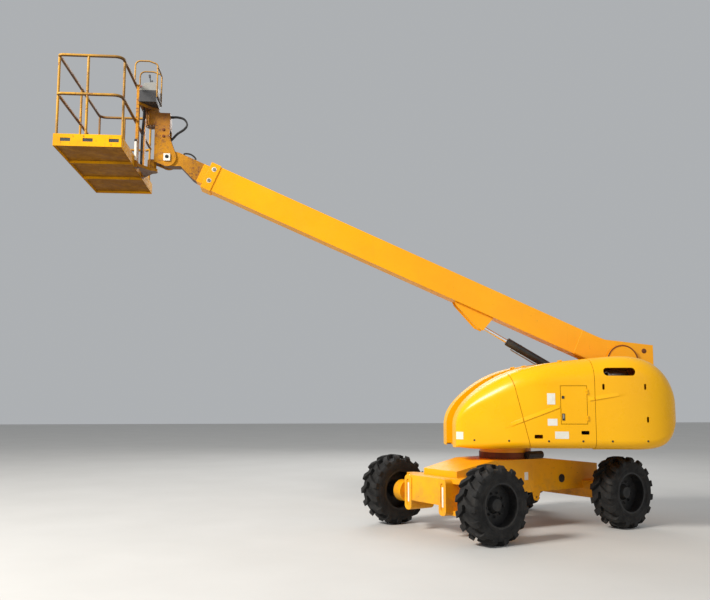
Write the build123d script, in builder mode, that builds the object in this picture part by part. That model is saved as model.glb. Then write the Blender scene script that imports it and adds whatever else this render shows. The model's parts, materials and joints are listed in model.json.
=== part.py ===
# Telescopic boom lift: four wheels, a slewing turret, a two-section boom and a work platform.
# Millimetres. The ground is Z = 0 and the boom points along +X. Places on the turret are
# measured from the slew axis, places on the boom from its root pivot, along and across it.
from build123d import *
from math import atan2, cos, degrees, pi, radians, sin, sqrt, tan
import os

os.makedirs("parts", exist_ok=True)

# Whole machine
basket_front = 5790.0
tail_back = 2165.0
chassis_heading = 28.06
panel_gap = 6.0
running_fit = 0.1
seat_gap = 0.3
slew_x = -(basket_front - tail_back) / 2

# Wheels
wheelbase = 2290.0
track = 1952.0
tyre_diameter = 920.0
tyre_width = 350.0
tyre_shoulder = 60.0
lug_count = 15
lug_height = 36.0
lug_half = 30.0
lug_slant = 24.0
lug_foot = 39.0
rim_diameter = 508.0
rim_width = 296.0
rim_wall = 12.0
rim_flange = 20.0
flange_width = 12.0
disc_thickness = 14.0
disc_offset = 20.0
hub_radius = 105.0
hub_cap_radius = 70.0
hub_cap_length = 55.0
spindle_radius = 55.0
tyre_radius = tyre_diameter / 2
rim_radius = rim_diameter / 2

# Front axle, knuckles and steering
beam_half_width = 320.0
beam_front = 1370.0
beam_back = 920.0
beam_bottom = 390.0
beam_top = 710.0
beam_wall = 14.0
fork_bottom = 270.0
fork_top = 710.0
fork_arm = 60.0
fork_back = 80.0
fork_half_depth = 130.0
fork_ring_y = 345.0
fork_ring_width = 140.0
kingpin_y = 550.0
kingpin_radius = 30.0
fork_end_radius = 80.0
knuckle_radius = 72.0
knuckle_neck_radius = 64.0
gearbox_radius = 140.0
gearbox_start = 650.0
gearbox_end = 800.0
hub_gap = 6.0
steer_arm = 270.0
steer_arm_width = 60.0
steer_arm_thickness = 25.0
steer_arm_z = 365.0
steer_eye_radius = 30.0
steer_rod_radius = 20.0
steer_barrel_radius = 39.0
steer_barrel_half = 220.0
steer_foot_y = 140.0

# Rear axle
rear_beam_bottom = 350.0
rear_beam_top = 570.0
rear_beam_half_depth = 120.0

# Chassis frame
frame_half_width = 420.0
frame_nose_half_width = 330.0
frame_waist = -100.0
frame_wall = 12.0
frame_back = 1330.0
frame_front = 920.0
deck_height = 895.0
deck_rear_height = 790.0
deck_nose_height = 785.0
deck_front = 1130.0
frame_bottom = 470.0
ring_radius = 350.0
ring_bore = 230.0
ring_split = 975.0
tie_down_bore = 16.0
tie_down_thickness = 20.0
tie_down_radius = 45.0
tie_down_x = -150.0
tie_down_drop = 70.0
slew_motor_radius = 50.0
slew_motor_length = 260.0

# Turret floor and side plates
cowl_bottom = 1050.0
cowl_wall = 8.0
floor_thickness = 22.0
floor_margin = 36.0
plate_in = 155.0
plate_thickness = 15.0
floor_bottom_z = cowl_bottom + cowl_wall + seat_gap
floor_top_z = floor_bottom_z + floor_thickness
weight_top = 1560.0
weight_front = -1600.0
weight_half = 760.0
weight_slot = 214.0
weight_core = 194.0
weight_core_top = 1440.0

# Cowls: stations along the turret. The last column says whether the station is open below
valley_half = 200.0
cowl_lip = 40.0
cowl_open_drop = 60.0
cowl_stations = [
    # s, bottom, top, half_width, shoulder, sill, open_below
    (760, 1050, 1350, 400, 60, 40, True),
    (640, 1050, 1620, 510, 120, 60, True),
    (200, 1050, 1955, 720, 220, 90, True),
    (-500, 1050, 2150, 910, 260, 110, True),
    (-1100, 1050, 2215, 985, 270, 120, True),
    (-1580, 1050, 2200, 1000, 270, 120, True),
    (-1880, 1120, 2040, 920, 260, 140, False),
    (-2060, 1330, 1740, 720, 150, 140, False),
    (-2150, 1440, 1600, 480, 60, 60, False),
]
exhaust_y = 640.0
exhaust_z = 1985.0
exhaust_radius = 78.0
cowl_slots = [
    # s, z, length, height
    (-1220, 2020, 400, 100),
    (-1010, 1830, 30, 70),
    (-1540, 1830, 30, 70),
    (-1560, 1420, 30, 70),
]
hood_slots = [
    # s, z, length, height
    (-200, 1210, 100, 46),
    (-770, 1260, 100, 46),
]
hood_slope = 12.8
hood_front = -110.0
hood_back = -900.0
hood_hinge_y = 262.0
hood_hinge_radius = 9.0
hood_hinge_length = 60.0
hinge_gap = 0.5
hood_hinge_s = (-200.0, -700.0)
hood_hinge_z = 2109.0
hood_hinge_slope = 8.6
door_front = -480.0
door_back = -800.0
door_bottom = 1370.0
door_top = 1840.0
door_hinge_y = 957.0
door_hinge_radius = 8.0
door_hinge_z = (1440.0, 1770.0)

# Boom
rest_angle = 23.65
pivot_s = -1620.0
pivot_z = 2190.0
outer_height = 350.0
outer_width = 250.0
outer_wall = 8.0
outer_length = 6200.0
root_plate = 12.0
root_end = 660.0
pin_radius = 40.0
ear_radius = 220.0
fly_height = 262.0
fly_width = 188.0
fly_wall = 7.0
fly_out = 90.0
stroke = 4300.0
fly_overlap = 700.0
pad_length = 150.0
collar_length = 140.0
collar_plate = 12.0
neck_pivot = 6776.0
neck_half = 85.0
neck_radius = 110.0
neck_pin_radius = 25.0

# Lift cylinder, from its base pin towards the boom
lift_angle = 30.0
lift_length = 2150.0
lift_eye_along = 1960.0
lift_eye_depth = 160.0
lift_eye_radius = 32.0
lift_pin_radius = 16.0
lift_eye_half = 55.0
lift_lug_gap = 6.0
lift_lug_plate = 20.0
rod_radius = 27.5
barrel_radius = 55.0
barrel_bore = 47.0
barrel_end = 1730.0
piston_place = 900.0
piston_length = 60.0
base_eye_radius = 70.0
base_eye_half = 45.0
base_pin_radius = 25.0

# Platform
yoke_plate = 15.0
yoke_gap = 7.0
yoke_back = 4560.0
yoke_web = 4705.0
yoke_front = 4760.0
yoke_top = 5350.0
turn_s = 4800.0
turn_radius = 95.0
turn_bottom = 5356.0
turn_top = 5560.0
turn_pin_radius = 35.0
arm_thickness = 40.0
arm_half_width = 80.0
lower_arm_bottom = 4725.0
basket_back = 4980.0
basket_half_length = 1150.0
floor_bottom = 4710.0
floor_plate = 6.0
toe_top = 4860.0
toe_thickness = 4.0
mid_rail_z = 5370.0
top_rail_z = 5880.0
rail_radius = 19.0
rail_wall = 3.0
rail_corner = 100.0
platform_post_y = 250.0
toe_slots = (5070.0, 5380.0, 5645.0)
toe_slot_length = 120.0
toe_slot_height = 42.0
toe_slot_z = 4789.0
console_left = 300.0
console_right = -40.0
console_back = 4720.0
console_top = 5880.0
guard_radius = 10.0
guard_top = 6160.0
hose_radius = 8.0
hose_half_gap = 12.0

# Working planes. On the side planes x runs forward and y up, and an offset of -d stands at Y = d
turn = radians(chassis_heading)
pitch = radians(rest_angle)
forward = (cos(turn), sin(turn), 0)
leftward = (-sin(turn), cos(turn), 0)
rightward = (sin(turn), -cos(turn), 0)
boom_dir = (cos(pitch), 0, sin(pitch))
slew_point = (slew_x, 0, 0)
pivot = (slew_x + pivot_s, 0, pivot_z)
turret_side = Plane(origin=slew_point, x_dir=(1, 0, 0), z_dir=(0, -1, 0))
turret_plan = Plane(origin=slew_point, x_dir=(1, 0, 0), z_dir=(0, 0, 1))
turret_face = Plane(origin=slew_point, x_dir=(0, 1, 0), z_dir=(1, 0, 0))
chassis_side = Plane(origin=slew_point, x_dir=forward, z_dir=rightward)
chassis_plan = Plane(origin=slew_point, x_dir=forward, z_dir=(0, 0, 1))
chassis_face = Plane(origin=slew_point, x_dir=leftward, z_dir=forward)
boom_side = Plane(origin=pivot, x_dir=boom_dir, z_dir=(0, -1, 0))
boom_face = Plane(origin=pivot, x_dir=(0, 1, 0), z_dir=boom_dir)


def keep(piece, name):
    """Labels one finished piece and writes it to its own file."""
    piece.label = name
    export_step(piece, f"parts/{name}.step")


def block(plane, low, high, mode=Mode.ADD):
    """A box between two corners given in a plane's own frame."""
    middle = [(a + b) / 2 for a, b in zip(low, high)]
    size = [b - a for a, b in zip(low, high)]
    with Locations(plane.location * Pos(*middle)):
        Box(*size, mode=mode)


def bar(start, end, radius, mode=Mode.ADD):
    """A round bar between two points of the row frame."""
    run = Vector(end) - Vector(start)
    with BuildSketch(Plane(origin=start, z_dir=run)) as disc:
        Circle(radius)
    extrude(disc.sketch, amount=run.length, mode=mode)


def tube(route, radius):
    """A round tube along a line of straight runs and arcs."""
    for edge in route.edges():
        start, along = edge @ 0, edge % 0
        with BuildSketch(Plane(origin=start, z_dir=along)) as disc:
            Circle(radius)
        if edge.geom_type == GeomType.LINE:
            extrude(disc.sketch, amount=edge.length)
        else:
            arm = start - edge.arc_center
            turn_axis = Axis(edge.arc_center, arm.cross(along))
            revolve(disc.sketch, axis=turn_axis, revolution_arc=degrees(edge.length / arm.length))


def on_chassis(x, y, z):
    """The point that lies x forward and y left of the slew axis on the chassis."""
    return chassis_plan.from_local_coords((x, y, z))


def on_turret(s, t, z):
    """The point that lies s forward and t left of the slew axis on the turret."""
    return Vector(slew_x + s, t, z)


def on_boom(along, t, up):
    """The point that lies along and above the boom's centreline, measured from its pivot."""
    return boom_side.from_local_coords((along, up, -t))


# Wheels: one tyre and one rim with its turning hub at each corner
corners = [
    # name, end, side
    ("front_left", 1, 1),
    ("front_right", 1, -1),
    ("rear_left", -1, 1),
    ("rear_right", -1, -1),
]
rim_edge = rim_width / 2
hub_start = gearbox_end + hub_gap - track / 2
disc_in = disc_offset - disc_thickness / 2
disc_out = disc_offset + disc_thickness / 2
spindle_end = disc_in - hub_gap

tread_root = tyre_radius - lug_height
tread_half = tyre_width / 2 - tyre_shoulder
facets = 2 * lug_count
lug_low = radians(lug_slant)
lug_reach = lug_foot + tyre_width / 2 * tan(lug_low)
lug_crown = tyre_radius - sqrt(tyre_radius**2 - (lug_foot + lug_half) ** 2)
lug_phase = degrees(atan2(lug_foot + lug_half, tyre_radius - lug_crown))


def many_sided(place, radius, sides=facets):
    """A regular outline square to the axle."""
    with BuildSketch(Plane(origin=(0, place, 0), x_dir=(1, 0, 0), z_dir=(0, 1, 0))) as outline:
        RegularPolygon(radius, sides)
    return outline.sketch


def side_wall(near, far, near_radius, far_radius):
    """A tapering length of the tyre between two places on the axle."""
    loft([many_sided(near, near_radius).face(), many_sided(far, far_radius).face()], ruled=True)


# One lug below the origin, from the tread's middle to the side wall, cut off at the shoulder
wide = tyre_width / 2
with BuildPart() as lug:
    with BuildSketch(Plane.XY.offset(-tyre_radius + lug_crown)):
        with BuildLine():
            Polyline(
                (lug_foot - lug_half, 3),
                (lug_foot + lug_half, 3),
                (lug_foot + lug_half - lug_reach, wide),
                (lug_foot - lug_half - lug_reach, wide),
                close=True,
            )
        make_face()
    extrude(amount=lug_height + 50)
    with BuildSketch(Plane.YZ.offset(-200)):
        with BuildLine():
            Polyline(
                (tread_half, -tyre_radius),
                (wide, -tyre_radius + tyre_shoulder),
                (wide + 5, -tyre_radius),
                close=True,
            )
        make_face()
    extrude(amount=400, mode=Mode.SUBTRACT)

far_lug = mirror(lug.part, about=Plane.XZ)

# The tyre is made about the origin with its axle along Y, and stands at each corner in turn
with BuildPart() as tyre:
    bead = rim_edge - seat_gap
    shoulder = tread_root - tyre_shoulder
    extrude(many_sided(-tread_half, tread_root), amount=2 * tread_half, dir=(0, 1, 0))
    side_wall(tread_half, wide, tread_root, shoulder)
    side_wall(-wide, -tread_half, shoulder, tread_root)
    pitch = 360 / lug_count
    add([Rot(0, lug_phase + pitch * k, 0) * lug.part for k in range(lug_count)])
    add([Rot(0, lug_phase + pitch * (k + 0.5), 0) * far_lug for k in range(lug_count)])
    bore_radius = (rim_radius + seat_gap) / cos(pi / lug_count)
    extrude(many_sided(-wide, bore_radius, lug_count), amount=tyre_width, dir=(0, 1, 0), mode=Mode.SUBTRACT)
    for low in (-wide, bead):
        ledge = many_sided(low, rim_radius + rim_flange + 20, lug_count)
        extrude(ledge, amount=wide - bead, dir=(0, 1, 0), mode=Mode.SUBTRACT)
turns_to = {1: Rot(0, 0, chassis_heading), -1: Rot(0, 0, chassis_heading + 180)}

for corner, end, side in corners:
    centre = on_chassis(end * wheelbase / 2, side * track / 2, tyre_radius)
    outward = leftward if side > 0 else rightward
    wheel_plane = Plane(origin=centre, x_dir=outward, z_dir=forward)
    axle_line = Axis(centre, outward)

    keep(Pos(centre) * turns_to[side] * tyre.part, f"tyre_{corner}")

    with BuildPart() as rim:
        with BuildSketch(wheel_plane):
            with BuildLine():
                inner = rim_radius - rim_wall
                Polyline(
                    (-rim_edge - flange_width, inner),
                    (-rim_edge - flange_width, rim_radius + rim_flange),
                    (-rim_edge, rim_radius + rim_flange),
                    (-rim_edge, rim_radius),
                    (rim_edge, rim_radius),
                    (rim_edge, rim_radius + rim_flange),
                    (rim_edge + flange_width, rim_radius + rim_flange),
                    (rim_edge + flange_width, inner),
                    (disc_out, inner),
                    (disc_out, hub_radius),
                    (disc_out + hub_cap_length, hub_cap_radius),
                    (disc_out + hub_cap_length, 0),
                    (disc_in, 0),
                    (disc_in, spindle_radius + running_fit),
                    (hub_start, spindle_radius + running_fit),
                    (hub_start, hub_radius),
                    (disc_in, hub_radius),
                    (disc_in, inner),
                    close=True,
                )
            make_face()
        revolve(axis=axle_line)
    keep(rim.part, f"rim_{corner}")


def frame_block(inset, drop):
    """The chassis box, smaller by inset all round and lower by drop."""
    with BuildPart() as body:
        with BuildSketch(chassis_side.offset(-frame_half_width)):
            with BuildLine():
                Polyline(
                    (-frame_back + inset, frame_bottom - drop),
                    (-frame_back + inset, deck_rear_height - inset),
                    (-ring_radius, deck_height - inset),
                    (ring_radius + 200, deck_height - inset),
                    (deck_front - inset, deck_nose_height - inset),
                    (deck_front - inset, beam_top + seat_gap - drop / 50),
                    (frame_front - inset, beam_top + seat_gap - drop / 50),
                    (frame_front - inset, frame_bottom - drop),
                    close=True,
                )
            make_face()
        extrude(amount=2 * frame_half_width)
        with BuildSketch(chassis_plan):
            with BuildLine():
                Polyline(
                    (-frame_back, -frame_half_width + inset),
                    (frame_waist, -frame_half_width + inset),
                    (deck_front, -frame_nose_half_width + inset),
                    (deck_front, frame_nose_half_width - inset),
                    (frame_waist, frame_half_width - inset),
                    (-frame_back, frame_half_width - inset),
                    close=True,
                )
            make_face()
        extrude(amount=deck_height, mode=Mode.INTERSECT)
    return body.part


# Chassis frame: a welded box, open underneath, notched over the rear axle, with tie-down lugs
frame_outside = frame_block(0, 0)
frame_inside = frame_block(frame_wall, 100)
rear_axle_x = -wheelbase / 2
with BuildPart() as chassis_frame:
    add(frame_outside)
    add(frame_inside, mode=Mode.SUBTRACT)
    block(
        chassis_plan,
        (rear_axle_x - rear_beam_half_depth, -frame_half_width, frame_bottom),
        (rear_axle_x + rear_beam_half_depth, frame_half_width, rear_beam_top),
        mode=Mode.SUBTRACT,
    )
    for side in (1, -1):
        lug_y = side * (frame_half_width - tie_down_thickness / 2)
        with BuildSketch(chassis_side.offset(-lug_y - tie_down_thickness / 2)):
            with BuildLine():
                lug_z = frame_bottom - tie_down_drop
                Polyline(
                    (tie_down_x - tie_down_radius, lug_z),
                    (tie_down_x - tie_down_radius - 30, frame_bottom + 20),
                    (tie_down_x + tie_down_radius + 30, frame_bottom + 20),
                    (tie_down_x + tie_down_radius, lug_z),
                )
                ThreePointArc(
                    (tie_down_x + tie_down_radius, lug_z),
                    (tie_down_x, lug_z - tie_down_radius),
                    (tie_down_x - tie_down_radius, lug_z),
                )
            make_face()
            with Locations((tie_down_x, lug_z)):
                Circle(tie_down_bore, mode=Mode.SUBTRACT)
        extrude(amount=tie_down_thickness)
keep(chassis_frame.part, "chassis_frame")

# Slew ring: the fixed lower race under the turret
with BuildPart() as slew_ring:
    with BuildSketch(chassis_plan.offset(deck_height)):
        Circle(ring_radius)
        Circle(ring_bore, mode=Mode.SUBTRACT)
    extrude(amount=ring_split - deck_height)
keep(slew_ring.part, "slew_ring")

# Slew motor: it lies on the deck beside the ring
motor_y = ring_radius + slew_motor_radius + 8
motor_z = deck_height + slew_motor_radius + seat_gap
with BuildPart() as slew_motor:
    bar(on_chassis(-slew_motor_length, motor_y, motor_z), on_chassis(0, motor_y, motor_z), slew_motor_radius)
keep(slew_motor.part, "slew_motor")

# Front axle: a box beam with a fork at each end that holds the kingpins
front_axle_x = wheelbase / 2
with BuildPart() as front_axle:
    block(
        chassis_plan,
        (beam_back, -beam_half_width, beam_bottom),
        (beam_front, beam_half_width, beam_top),
    )
    block(
        chassis_plan,
        (beam_back - beam_wall, -beam_half_width + beam_wall, beam_bottom + beam_wall),
        (beam_front - beam_wall, beam_half_width - beam_wall, beam_top - beam_wall),
        mode=Mode.SUBTRACT,
    )
    for side in (1, -1):
        fork_in = side * beam_half_width
        fork_out = side * (beam_half_width + fork_back)
        block(
            chassis_plan,
            (front_axle_x - fork_half_depth, min(fork_in, fork_out), fork_bottom),
            (front_axle_x + fork_half_depth, max(fork_in, fork_out), fork_top),
        )
        with BuildSketch(chassis_face.offset(front_axle_x - fork_half_depth)) as ring:
            with Locations((side * fork_ring_y, (fork_bottom + fork_top) / 2)):
                RectangleRounded(fork_ring_width, fork_top - fork_bottom, fork_ring_width * 0.42)
        extrude(ring.sketch, amount=beam_front + 12 - front_axle_x + fork_half_depth)
        with BuildSketch(chassis_face.offset(beam_front - 60)) as ring_slot:
            with Locations((side * fork_ring_y, (fork_bottom + fork_top) / 2)):
                RectangleRounded(fork_ring_width - 80, fork_top - fork_bottom - 110, 26)
        extrude(ring_slot.sketch, amount=100, mode=Mode.SUBTRACT)
        for arm_low in (fork_bottom, fork_top - fork_arm):
            with BuildSketch(chassis_plan.offset(arm_low)):
                with Locations((front_axle_x, side * kingpin_y)):
                    Circle(fork_end_radius)
                with BuildLine():
                    Polyline(
                        (front_axle_x - fork_half_depth, fork_out),
                        (front_axle_x + fork_half_depth, fork_out),
                        (front_axle_x + fork_end_radius, side * kingpin_y),
                        (front_axle_x - fork_end_radius, side * kingpin_y),
                        close=True,
                    )
                make_face()
                with Locations((front_axle_x, side * kingpin_y)):
                    Circle(kingpin_radius + running_fit, mode=Mode.SUBTRACT)
            extrude(amount=fork_arm)
keep(front_axle.part, "front_axle")

# Knuckles: kingpin, drive housing, spindle and steering arm
for name, side in (("left", 1), ("right", -1)):
    with BuildPart() as knuckle:
        bar(
            on_chassis(front_axle_x, side * kingpin_y, fork_bottom),
            on_chassis(front_axle_x, side * kingpin_y, fork_top),
            kingpin_radius,
        )
        bar(
            on_chassis(front_axle_x, side * kingpin_y, fork_bottom + fork_arm + panel_gap),
            on_chassis(front_axle_x, side * kingpin_y, fork_top - fork_arm - panel_gap),
            knuckle_radius,
        )
        bar(
            on_chassis(front_axle_x, side * kingpin_y, tyre_radius),
            on_chassis(front_axle_x, side * gearbox_start, tyre_radius),
            knuckle_neck_radius,
        )
        bar(
            on_chassis(front_axle_x, side * gearbox_start, tyre_radius),
            on_chassis(front_axle_x, side * gearbox_end, tyre_radius),
            gearbox_radius,
        )
        bar(
            on_chassis(front_axle_x, side * gearbox_end, tyre_radius),
            on_chassis(front_axle_x, side * (track / 2 + spindle_end), tyre_radius),
            spindle_radius,
        )
        with BuildSketch(chassis_plan.offset(steer_arm_z)):
            with Locations((front_axle_x - steer_arm / 2, side * kingpin_y)):
                SlotCenterToCenter(steer_arm, steer_arm_width)
        extrude(amount=steer_arm_thickness)
    keep(knuckle.part, f"knuckle_{name}")

# Steering cylinder behind the beam, with a rod that reaches over both steering arms
steer_x = front_axle_x - steer_arm
steer_rod_z = steer_arm_z + steer_arm_thickness + panel_gap + steer_rod_radius
with BuildPart() as steering_cylinder:
    bar(
        on_chassis(steer_x, -steer_barrel_half, steer_rod_z),
        on_chassis(steer_x, steer_barrel_half, steer_rod_z),
        steer_barrel_radius,
    )
    bar(
        on_chassis(steer_x, -steer_barrel_half, steer_rod_z),
        on_chassis(steer_x, steer_barrel_half, steer_rod_z),
        steer_rod_radius + running_fit,
        mode=Mode.SUBTRACT,
    )
    for side in (1, -1):
        low, high = sorted((side * steer_foot_y, side * (steer_foot_y + 50)))
        block(
            chassis_plan,
            (steer_x + steer_rod_radius + 5, low, steer_rod_z - 25),
            (beam_back, high, steer_rod_z + 25),
        )
keep(steering_cylinder.part, "steering_cylinder")

with BuildPart() as steering_rod:
    bar(on_chassis(steer_x, -kingpin_y, steer_rod_z), on_chassis(steer_x, kingpin_y, steer_rod_z), steer_rod_radius)
    for side in (1, -1):
        bar(
            on_chassis(steer_x, side * kingpin_y, steer_rod_z - steer_rod_radius),
            on_chassis(steer_x, side * kingpin_y, steer_rod_z + steer_rod_radius),
            steer_eye_radius,
        )
keep(steering_rod.part, "steering_rod")

# Rear axle: a cross beam with a drive housing and a spindle at each end
with BuildPart() as rear_axle:
    block(
        chassis_plan,
        (rear_axle_x - rear_beam_half_depth, -gearbox_start, rear_beam_bottom),
        (rear_axle_x + rear_beam_half_depth, gearbox_start, rear_beam_top),
    )
    for side in (1, -1):
        bar(
            on_chassis(rear_axle_x, side * gearbox_start, tyre_radius),
            on_chassis(rear_axle_x, side * gearbox_end, tyre_radius),
            gearbox_radius,
        )
        bar(
            on_chassis(rear_axle_x, side * gearbox_end, tyre_radius),
            on_chassis(rear_axle_x, side * (track / 2 + spindle_end), tyre_radius),
            spindle_radius,
        )
keep(rear_axle.part, "rear_axle")

# Turret frame: upper race, floor and two tall side plates that carry the boom's pin
lift_dir = radians(lift_angle)
lift_eye = on_boom(lift_eye_along, 0, -outer_height / 2 - lift_eye_depth)
lift_base = lift_eye - Vector(cos(lift_dir), 0, sin(lift_dir)) * lift_length
with BuildPart() as turret_frame:
    with BuildSketch(turret_plan.offset(ring_split + seat_gap)):
        Circle(ring_radius - 10)
        Circle(ring_bore, mode=Mode.SUBTRACT)
    extrude(amount=floor_bottom_z - ring_split - seat_gap)
    with BuildSketch(turret_plan.offset(floor_bottom_z)):
        with BuildLine():
            edge = [(s, w - sill - floor_margin) for s, low, high, w, shoulder, sill, opened in cowl_stations if opened]
            edge[0] = (edge[0][0] - 70, edge[0][1])
            edge[2] = (edge[2][0], edge[2][1] - 12)
            edge[-1] = (weight_front + 10, edge[-1][1] - 12)
            edge += [(weight_front + 10, weight_half - 40), (weight_front - 60, weight_half - 40)]
            Polyline(*edge, *[(s, -w) for s, w in reversed(edge)], close=True)
        make_face()
        Circle(ring_bore, mode=Mode.SUBTRACT)
    extrude(amount=floor_thickness)
    for side in (1, -1):
        near = side * plate_in
        with BuildSketch(turret_side.offset(-max(near, near + side * plate_thickness))):
            with BuildLine():
                Polyline(
                    (500, floor_top_z),
                    (420, 1250),
                    (-900, 1700),
                    (-1340, 2020),
                    (pivot_s + ear_radius, pivot_z),
                )
                ThreePointArc(
                    (pivot_s + ear_radius, pivot_z),
                    (pivot_s, pivot_z + ear_radius),
                    (pivot_s - ear_radius, pivot_z),
                )
                Polyline(
                    (pivot_s - ear_radius, pivot_z),
                    (-1860, weight_core_top + seat_gap),
                    (weight_front + 10, weight_core_top + seat_gap),
                    (weight_front + 10, floor_top_z),
                    (500, floor_top_z),
                )
            make_face()
        extrude(amount=plate_thickness)
    outer_face = plate_in + plate_thickness
    bar(
        on_turret(pivot_s, -outer_face, pivot_z),
        on_turret(pivot_s, outer_face, pivot_z),
        pin_radius,
    )
    bar(
        Vector(lift_base.X, -outer_face, lift_base.Z),
        Vector(lift_base.X, outer_face, lift_base.Z),
        base_pin_radius,
    )
keep(turret_frame.part, "turret_frame")

# Counterweight: a casting that closes the tail between the cowls and reaches inside them
with BuildPart() as counterweight:
    with BuildSketch(turret_side.offset(-weight_half)):
        with BuildLine():
            Polyline(
                (weight_front, floor_top_z + seat_gap),
                (weight_front, weight_top),
                (-1950, weight_top),
                (-1985, 1420),
                (-1890, 1230),
                (-1790, 1140),
                (-1680, floor_top_z + seat_gap),
                close=True,
            )
        make_face()
    extrude(amount=2 * weight_half)
    with BuildSketch(turret_plan.offset(cowl_bottom)):
        with BuildLine():
            Polyline(
                (weight_front, -weight_half),
                (weight_front, weight_half),
                (-1760, weight_half - 40),
                (-1880, 600),
                (-1990, 420),
                (-1990, -420),
                (-1880, -600),
                (-1760, -weight_half + 40),
                close=True,
            )
        make_face()
    extrude(amount=600, mode=Mode.INTERSECT)
    block(turret_side, (-2000, 1000, -weight_slot), (weight_front, weight_top, weight_slot), mode=Mode.SUBTRACT)
    with BuildSketch(turret_side.offset(-weight_core)):
        with BuildLine():
            Polyline(
                (weight_front, floor_top_z + seat_gap),
                (weight_front, weight_core_top),
                (40 - tail_back, weight_core_top),
                (-tail_back, weight_core_top - 40),
                (-tail_back, weight_core_top - 90),
                (-1960, 1170),
                (-1760, floor_top_z + seat_gap),
                close=True,
            )
        make_face()
    extrude(amount=2 * weight_core)
    for side in (1, -1):
        low, high = sorted((side * (weight_core - 5), side * (weight_slot + 5)))
        block(turret_plan, (-1900, low, 1250), (weight_front, high, weight_core_top))
keep(counterweight.part, "counterweight")

# Engine, tank and ground controls stand on the floor under the hoods
with BuildPart() as engine_block:
    block(turret_plan, (-1480, 300, 1140), (-900, 700, 1640))
    for foot in (-1440, -1040):
        block(turret_plan, (foot, 320, floor_top_z + seat_gap), (foot + 80, 680, 1140))
keep(engine_block.part, "engine_block")

with BuildPart() as oil_tank:
    block(turret_plan, (-800, -720, floor_top_z + seat_gap), (-150, -260, 1600))
keep(oil_tank.part, "oil_tank")

with BuildPart() as ground_console:
    block(turret_plan, (-740, 660, 1420), (-540, 780, 1790))
    block(turret_plan, (-660, 660, floor_top_z + seat_gap), (-620, 700, 1420))
keep(ground_console.part, "ground_console")

with BuildPart() as exhaust:
    bar(on_turret(-1450, exhaust_y, exhaust_z), on_turret(-1000, exhaust_y, exhaust_z), exhaust_radius)
    bar(
        on_turret(-1442, exhaust_y, exhaust_z),
        on_turret(-1008, exhaust_y, exhaust_z),
        exhaust_radius - 4,
        mode=Mode.SUBTRACT,
    )
    bar(on_turret(-1300, exhaust_y, 1640 + seat_gap), on_turret(-1300, exhaust_y, exhaust_z - exhaust_radius + 2), 28)
    bar(on_turret(-1130, exhaust_y + exhaust_radius - 4, exhaust_z), on_turret(-1130, exhaust_y + 150, exhaust_z + 8), 30)
    bar(
        on_turret(-1130, exhaust_y + exhaust_radius - 4, exhaust_z),
        on_turret(-1130, exhaust_y + 150, exhaust_z + 8),
        26,
        mode=Mode.SUBTRACT,
    )
keep(exhaust.part, "exhaust")


def cowl_section(low, high, inside, outside, shoulder, sill):
    """The closed outline of a cowl at one station, inside face at the boom's valley."""
    corner = 1 - cos(pi / 4)
    with BuildLine() as outline:
        Line((inside, low), (outside - sill, low))
        ThreePointArc(
            (outside - sill, low),
            (outside - sill * corner, low + sill * corner),
            (outside, low + sill),
        )
        Line((outside, low + sill), (outside, high - shoulder))
        ThreePointArc(
            (outside, high - shoulder),
            (outside - shoulder * corner, high - shoulder * corner),
            (outside - shoulder, high),
        )
        Line((outside - shoulder, high), (inside, high))
        Line((inside, high), (inside, low))
    make_face(outline.edges())


def cavity_section(low, high, inside, outside, shoulder, sill, floor):
    """The outline of the space inside a cowl, with a step down past its lower lip."""
    corner = 1 - cos(pi / 4)
    lip = outside - sill - cowl_lip
    with BuildLine() as outline:
        Polyline((inside, floor), (lip, floor), (lip, low), (outside - sill, low))
        ThreePointArc(
            (outside - sill, low),
            (outside - sill * corner, low + sill * corner),
            (outside, low + sill),
        )
        Line((outside, low + sill), (outside, high - shoulder))
        ThreePointArc(
            (outside, high - shoulder),
            (outside - shoulder * corner, high - shoulder * corner),
            (outside - shoulder, high),
        )
        Polyline((outside - shoulder, high), (inside, high), (inside, floor))
    make_face(outline.edges())


with BuildPart() as cowl_solid:
    for s, low, high, wide, shoulder, sill, opened in cowl_stations:
        with BuildSketch(turret_face.offset(s)):
            cowl_section(low, high, valley_half, wide, shoulder, sill)
    loft()

with BuildPart() as cowl_space:
    for s, low, high, wide, shoulder, sill, opened in cowl_stations:
        first, last = s == cowl_stations[0][0], s == cowl_stations[-1][0]
        place = s - cowl_wall if first else s + cowl_wall if last else s
        floor = low - cowl_open_drop if opened else low + cowl_wall - 1
        with BuildSketch(turret_face.offset(place)):
            cavity_section(
                low + cowl_wall,
                high - cowl_wall,
                valley_half + cowl_wall,
                wide - cowl_wall,
                shoulder - cowl_wall,
                sill - cowl_wall,
                floor,
            )
    loft()

with BuildPart() as cowl_shell:
    add(cowl_solid.part)
    add(cowl_space.part, mode=Mode.SUBTRACT)
    wall_out = valley_half + cowl_wall + 1
    block(
        turret_plan,
        (-2200, valley_half - 1, cowl_bottom - 100),
        (900, wall_out, floor_top_z + seat_gap),
        mode=Mode.SUBTRACT,
    )
    block(
        turret_plan,
        (-1925, valley_half - 1, cowl_bottom),
        (weight_front + panel_gap, wall_out, weight_core_top + seat_gap),
        mode=Mode.SUBTRACT,
    )

# The hood's seams: the front one leans back, the rear one is upright
lean = tan(radians(hood_slope))
hinge_rise = tan(radians(hood_hinge_slope))
door_hinge_s = door_back - panel_gap / 2
seam_foot = 900.0
seam_head = 2400.0


def seam(offset, height):
    """Where the leaning front seam stands at a height."""
    return hood_front + (height - cowl_bottom) * lean + offset


def region(points, near, far, mode):
    """Keeps or removes what lies inside a side-view outline between two distances left."""
    with BuildSketch(turret_side.offset(-far)) as outline:
        with BuildLine():
            Polyline(*points, close=True)
        make_face()
    extrude(outline.sketch, amount=far - near, mode=mode)


half_gap = panel_gap / 2
outer_y = 1100.0


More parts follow.
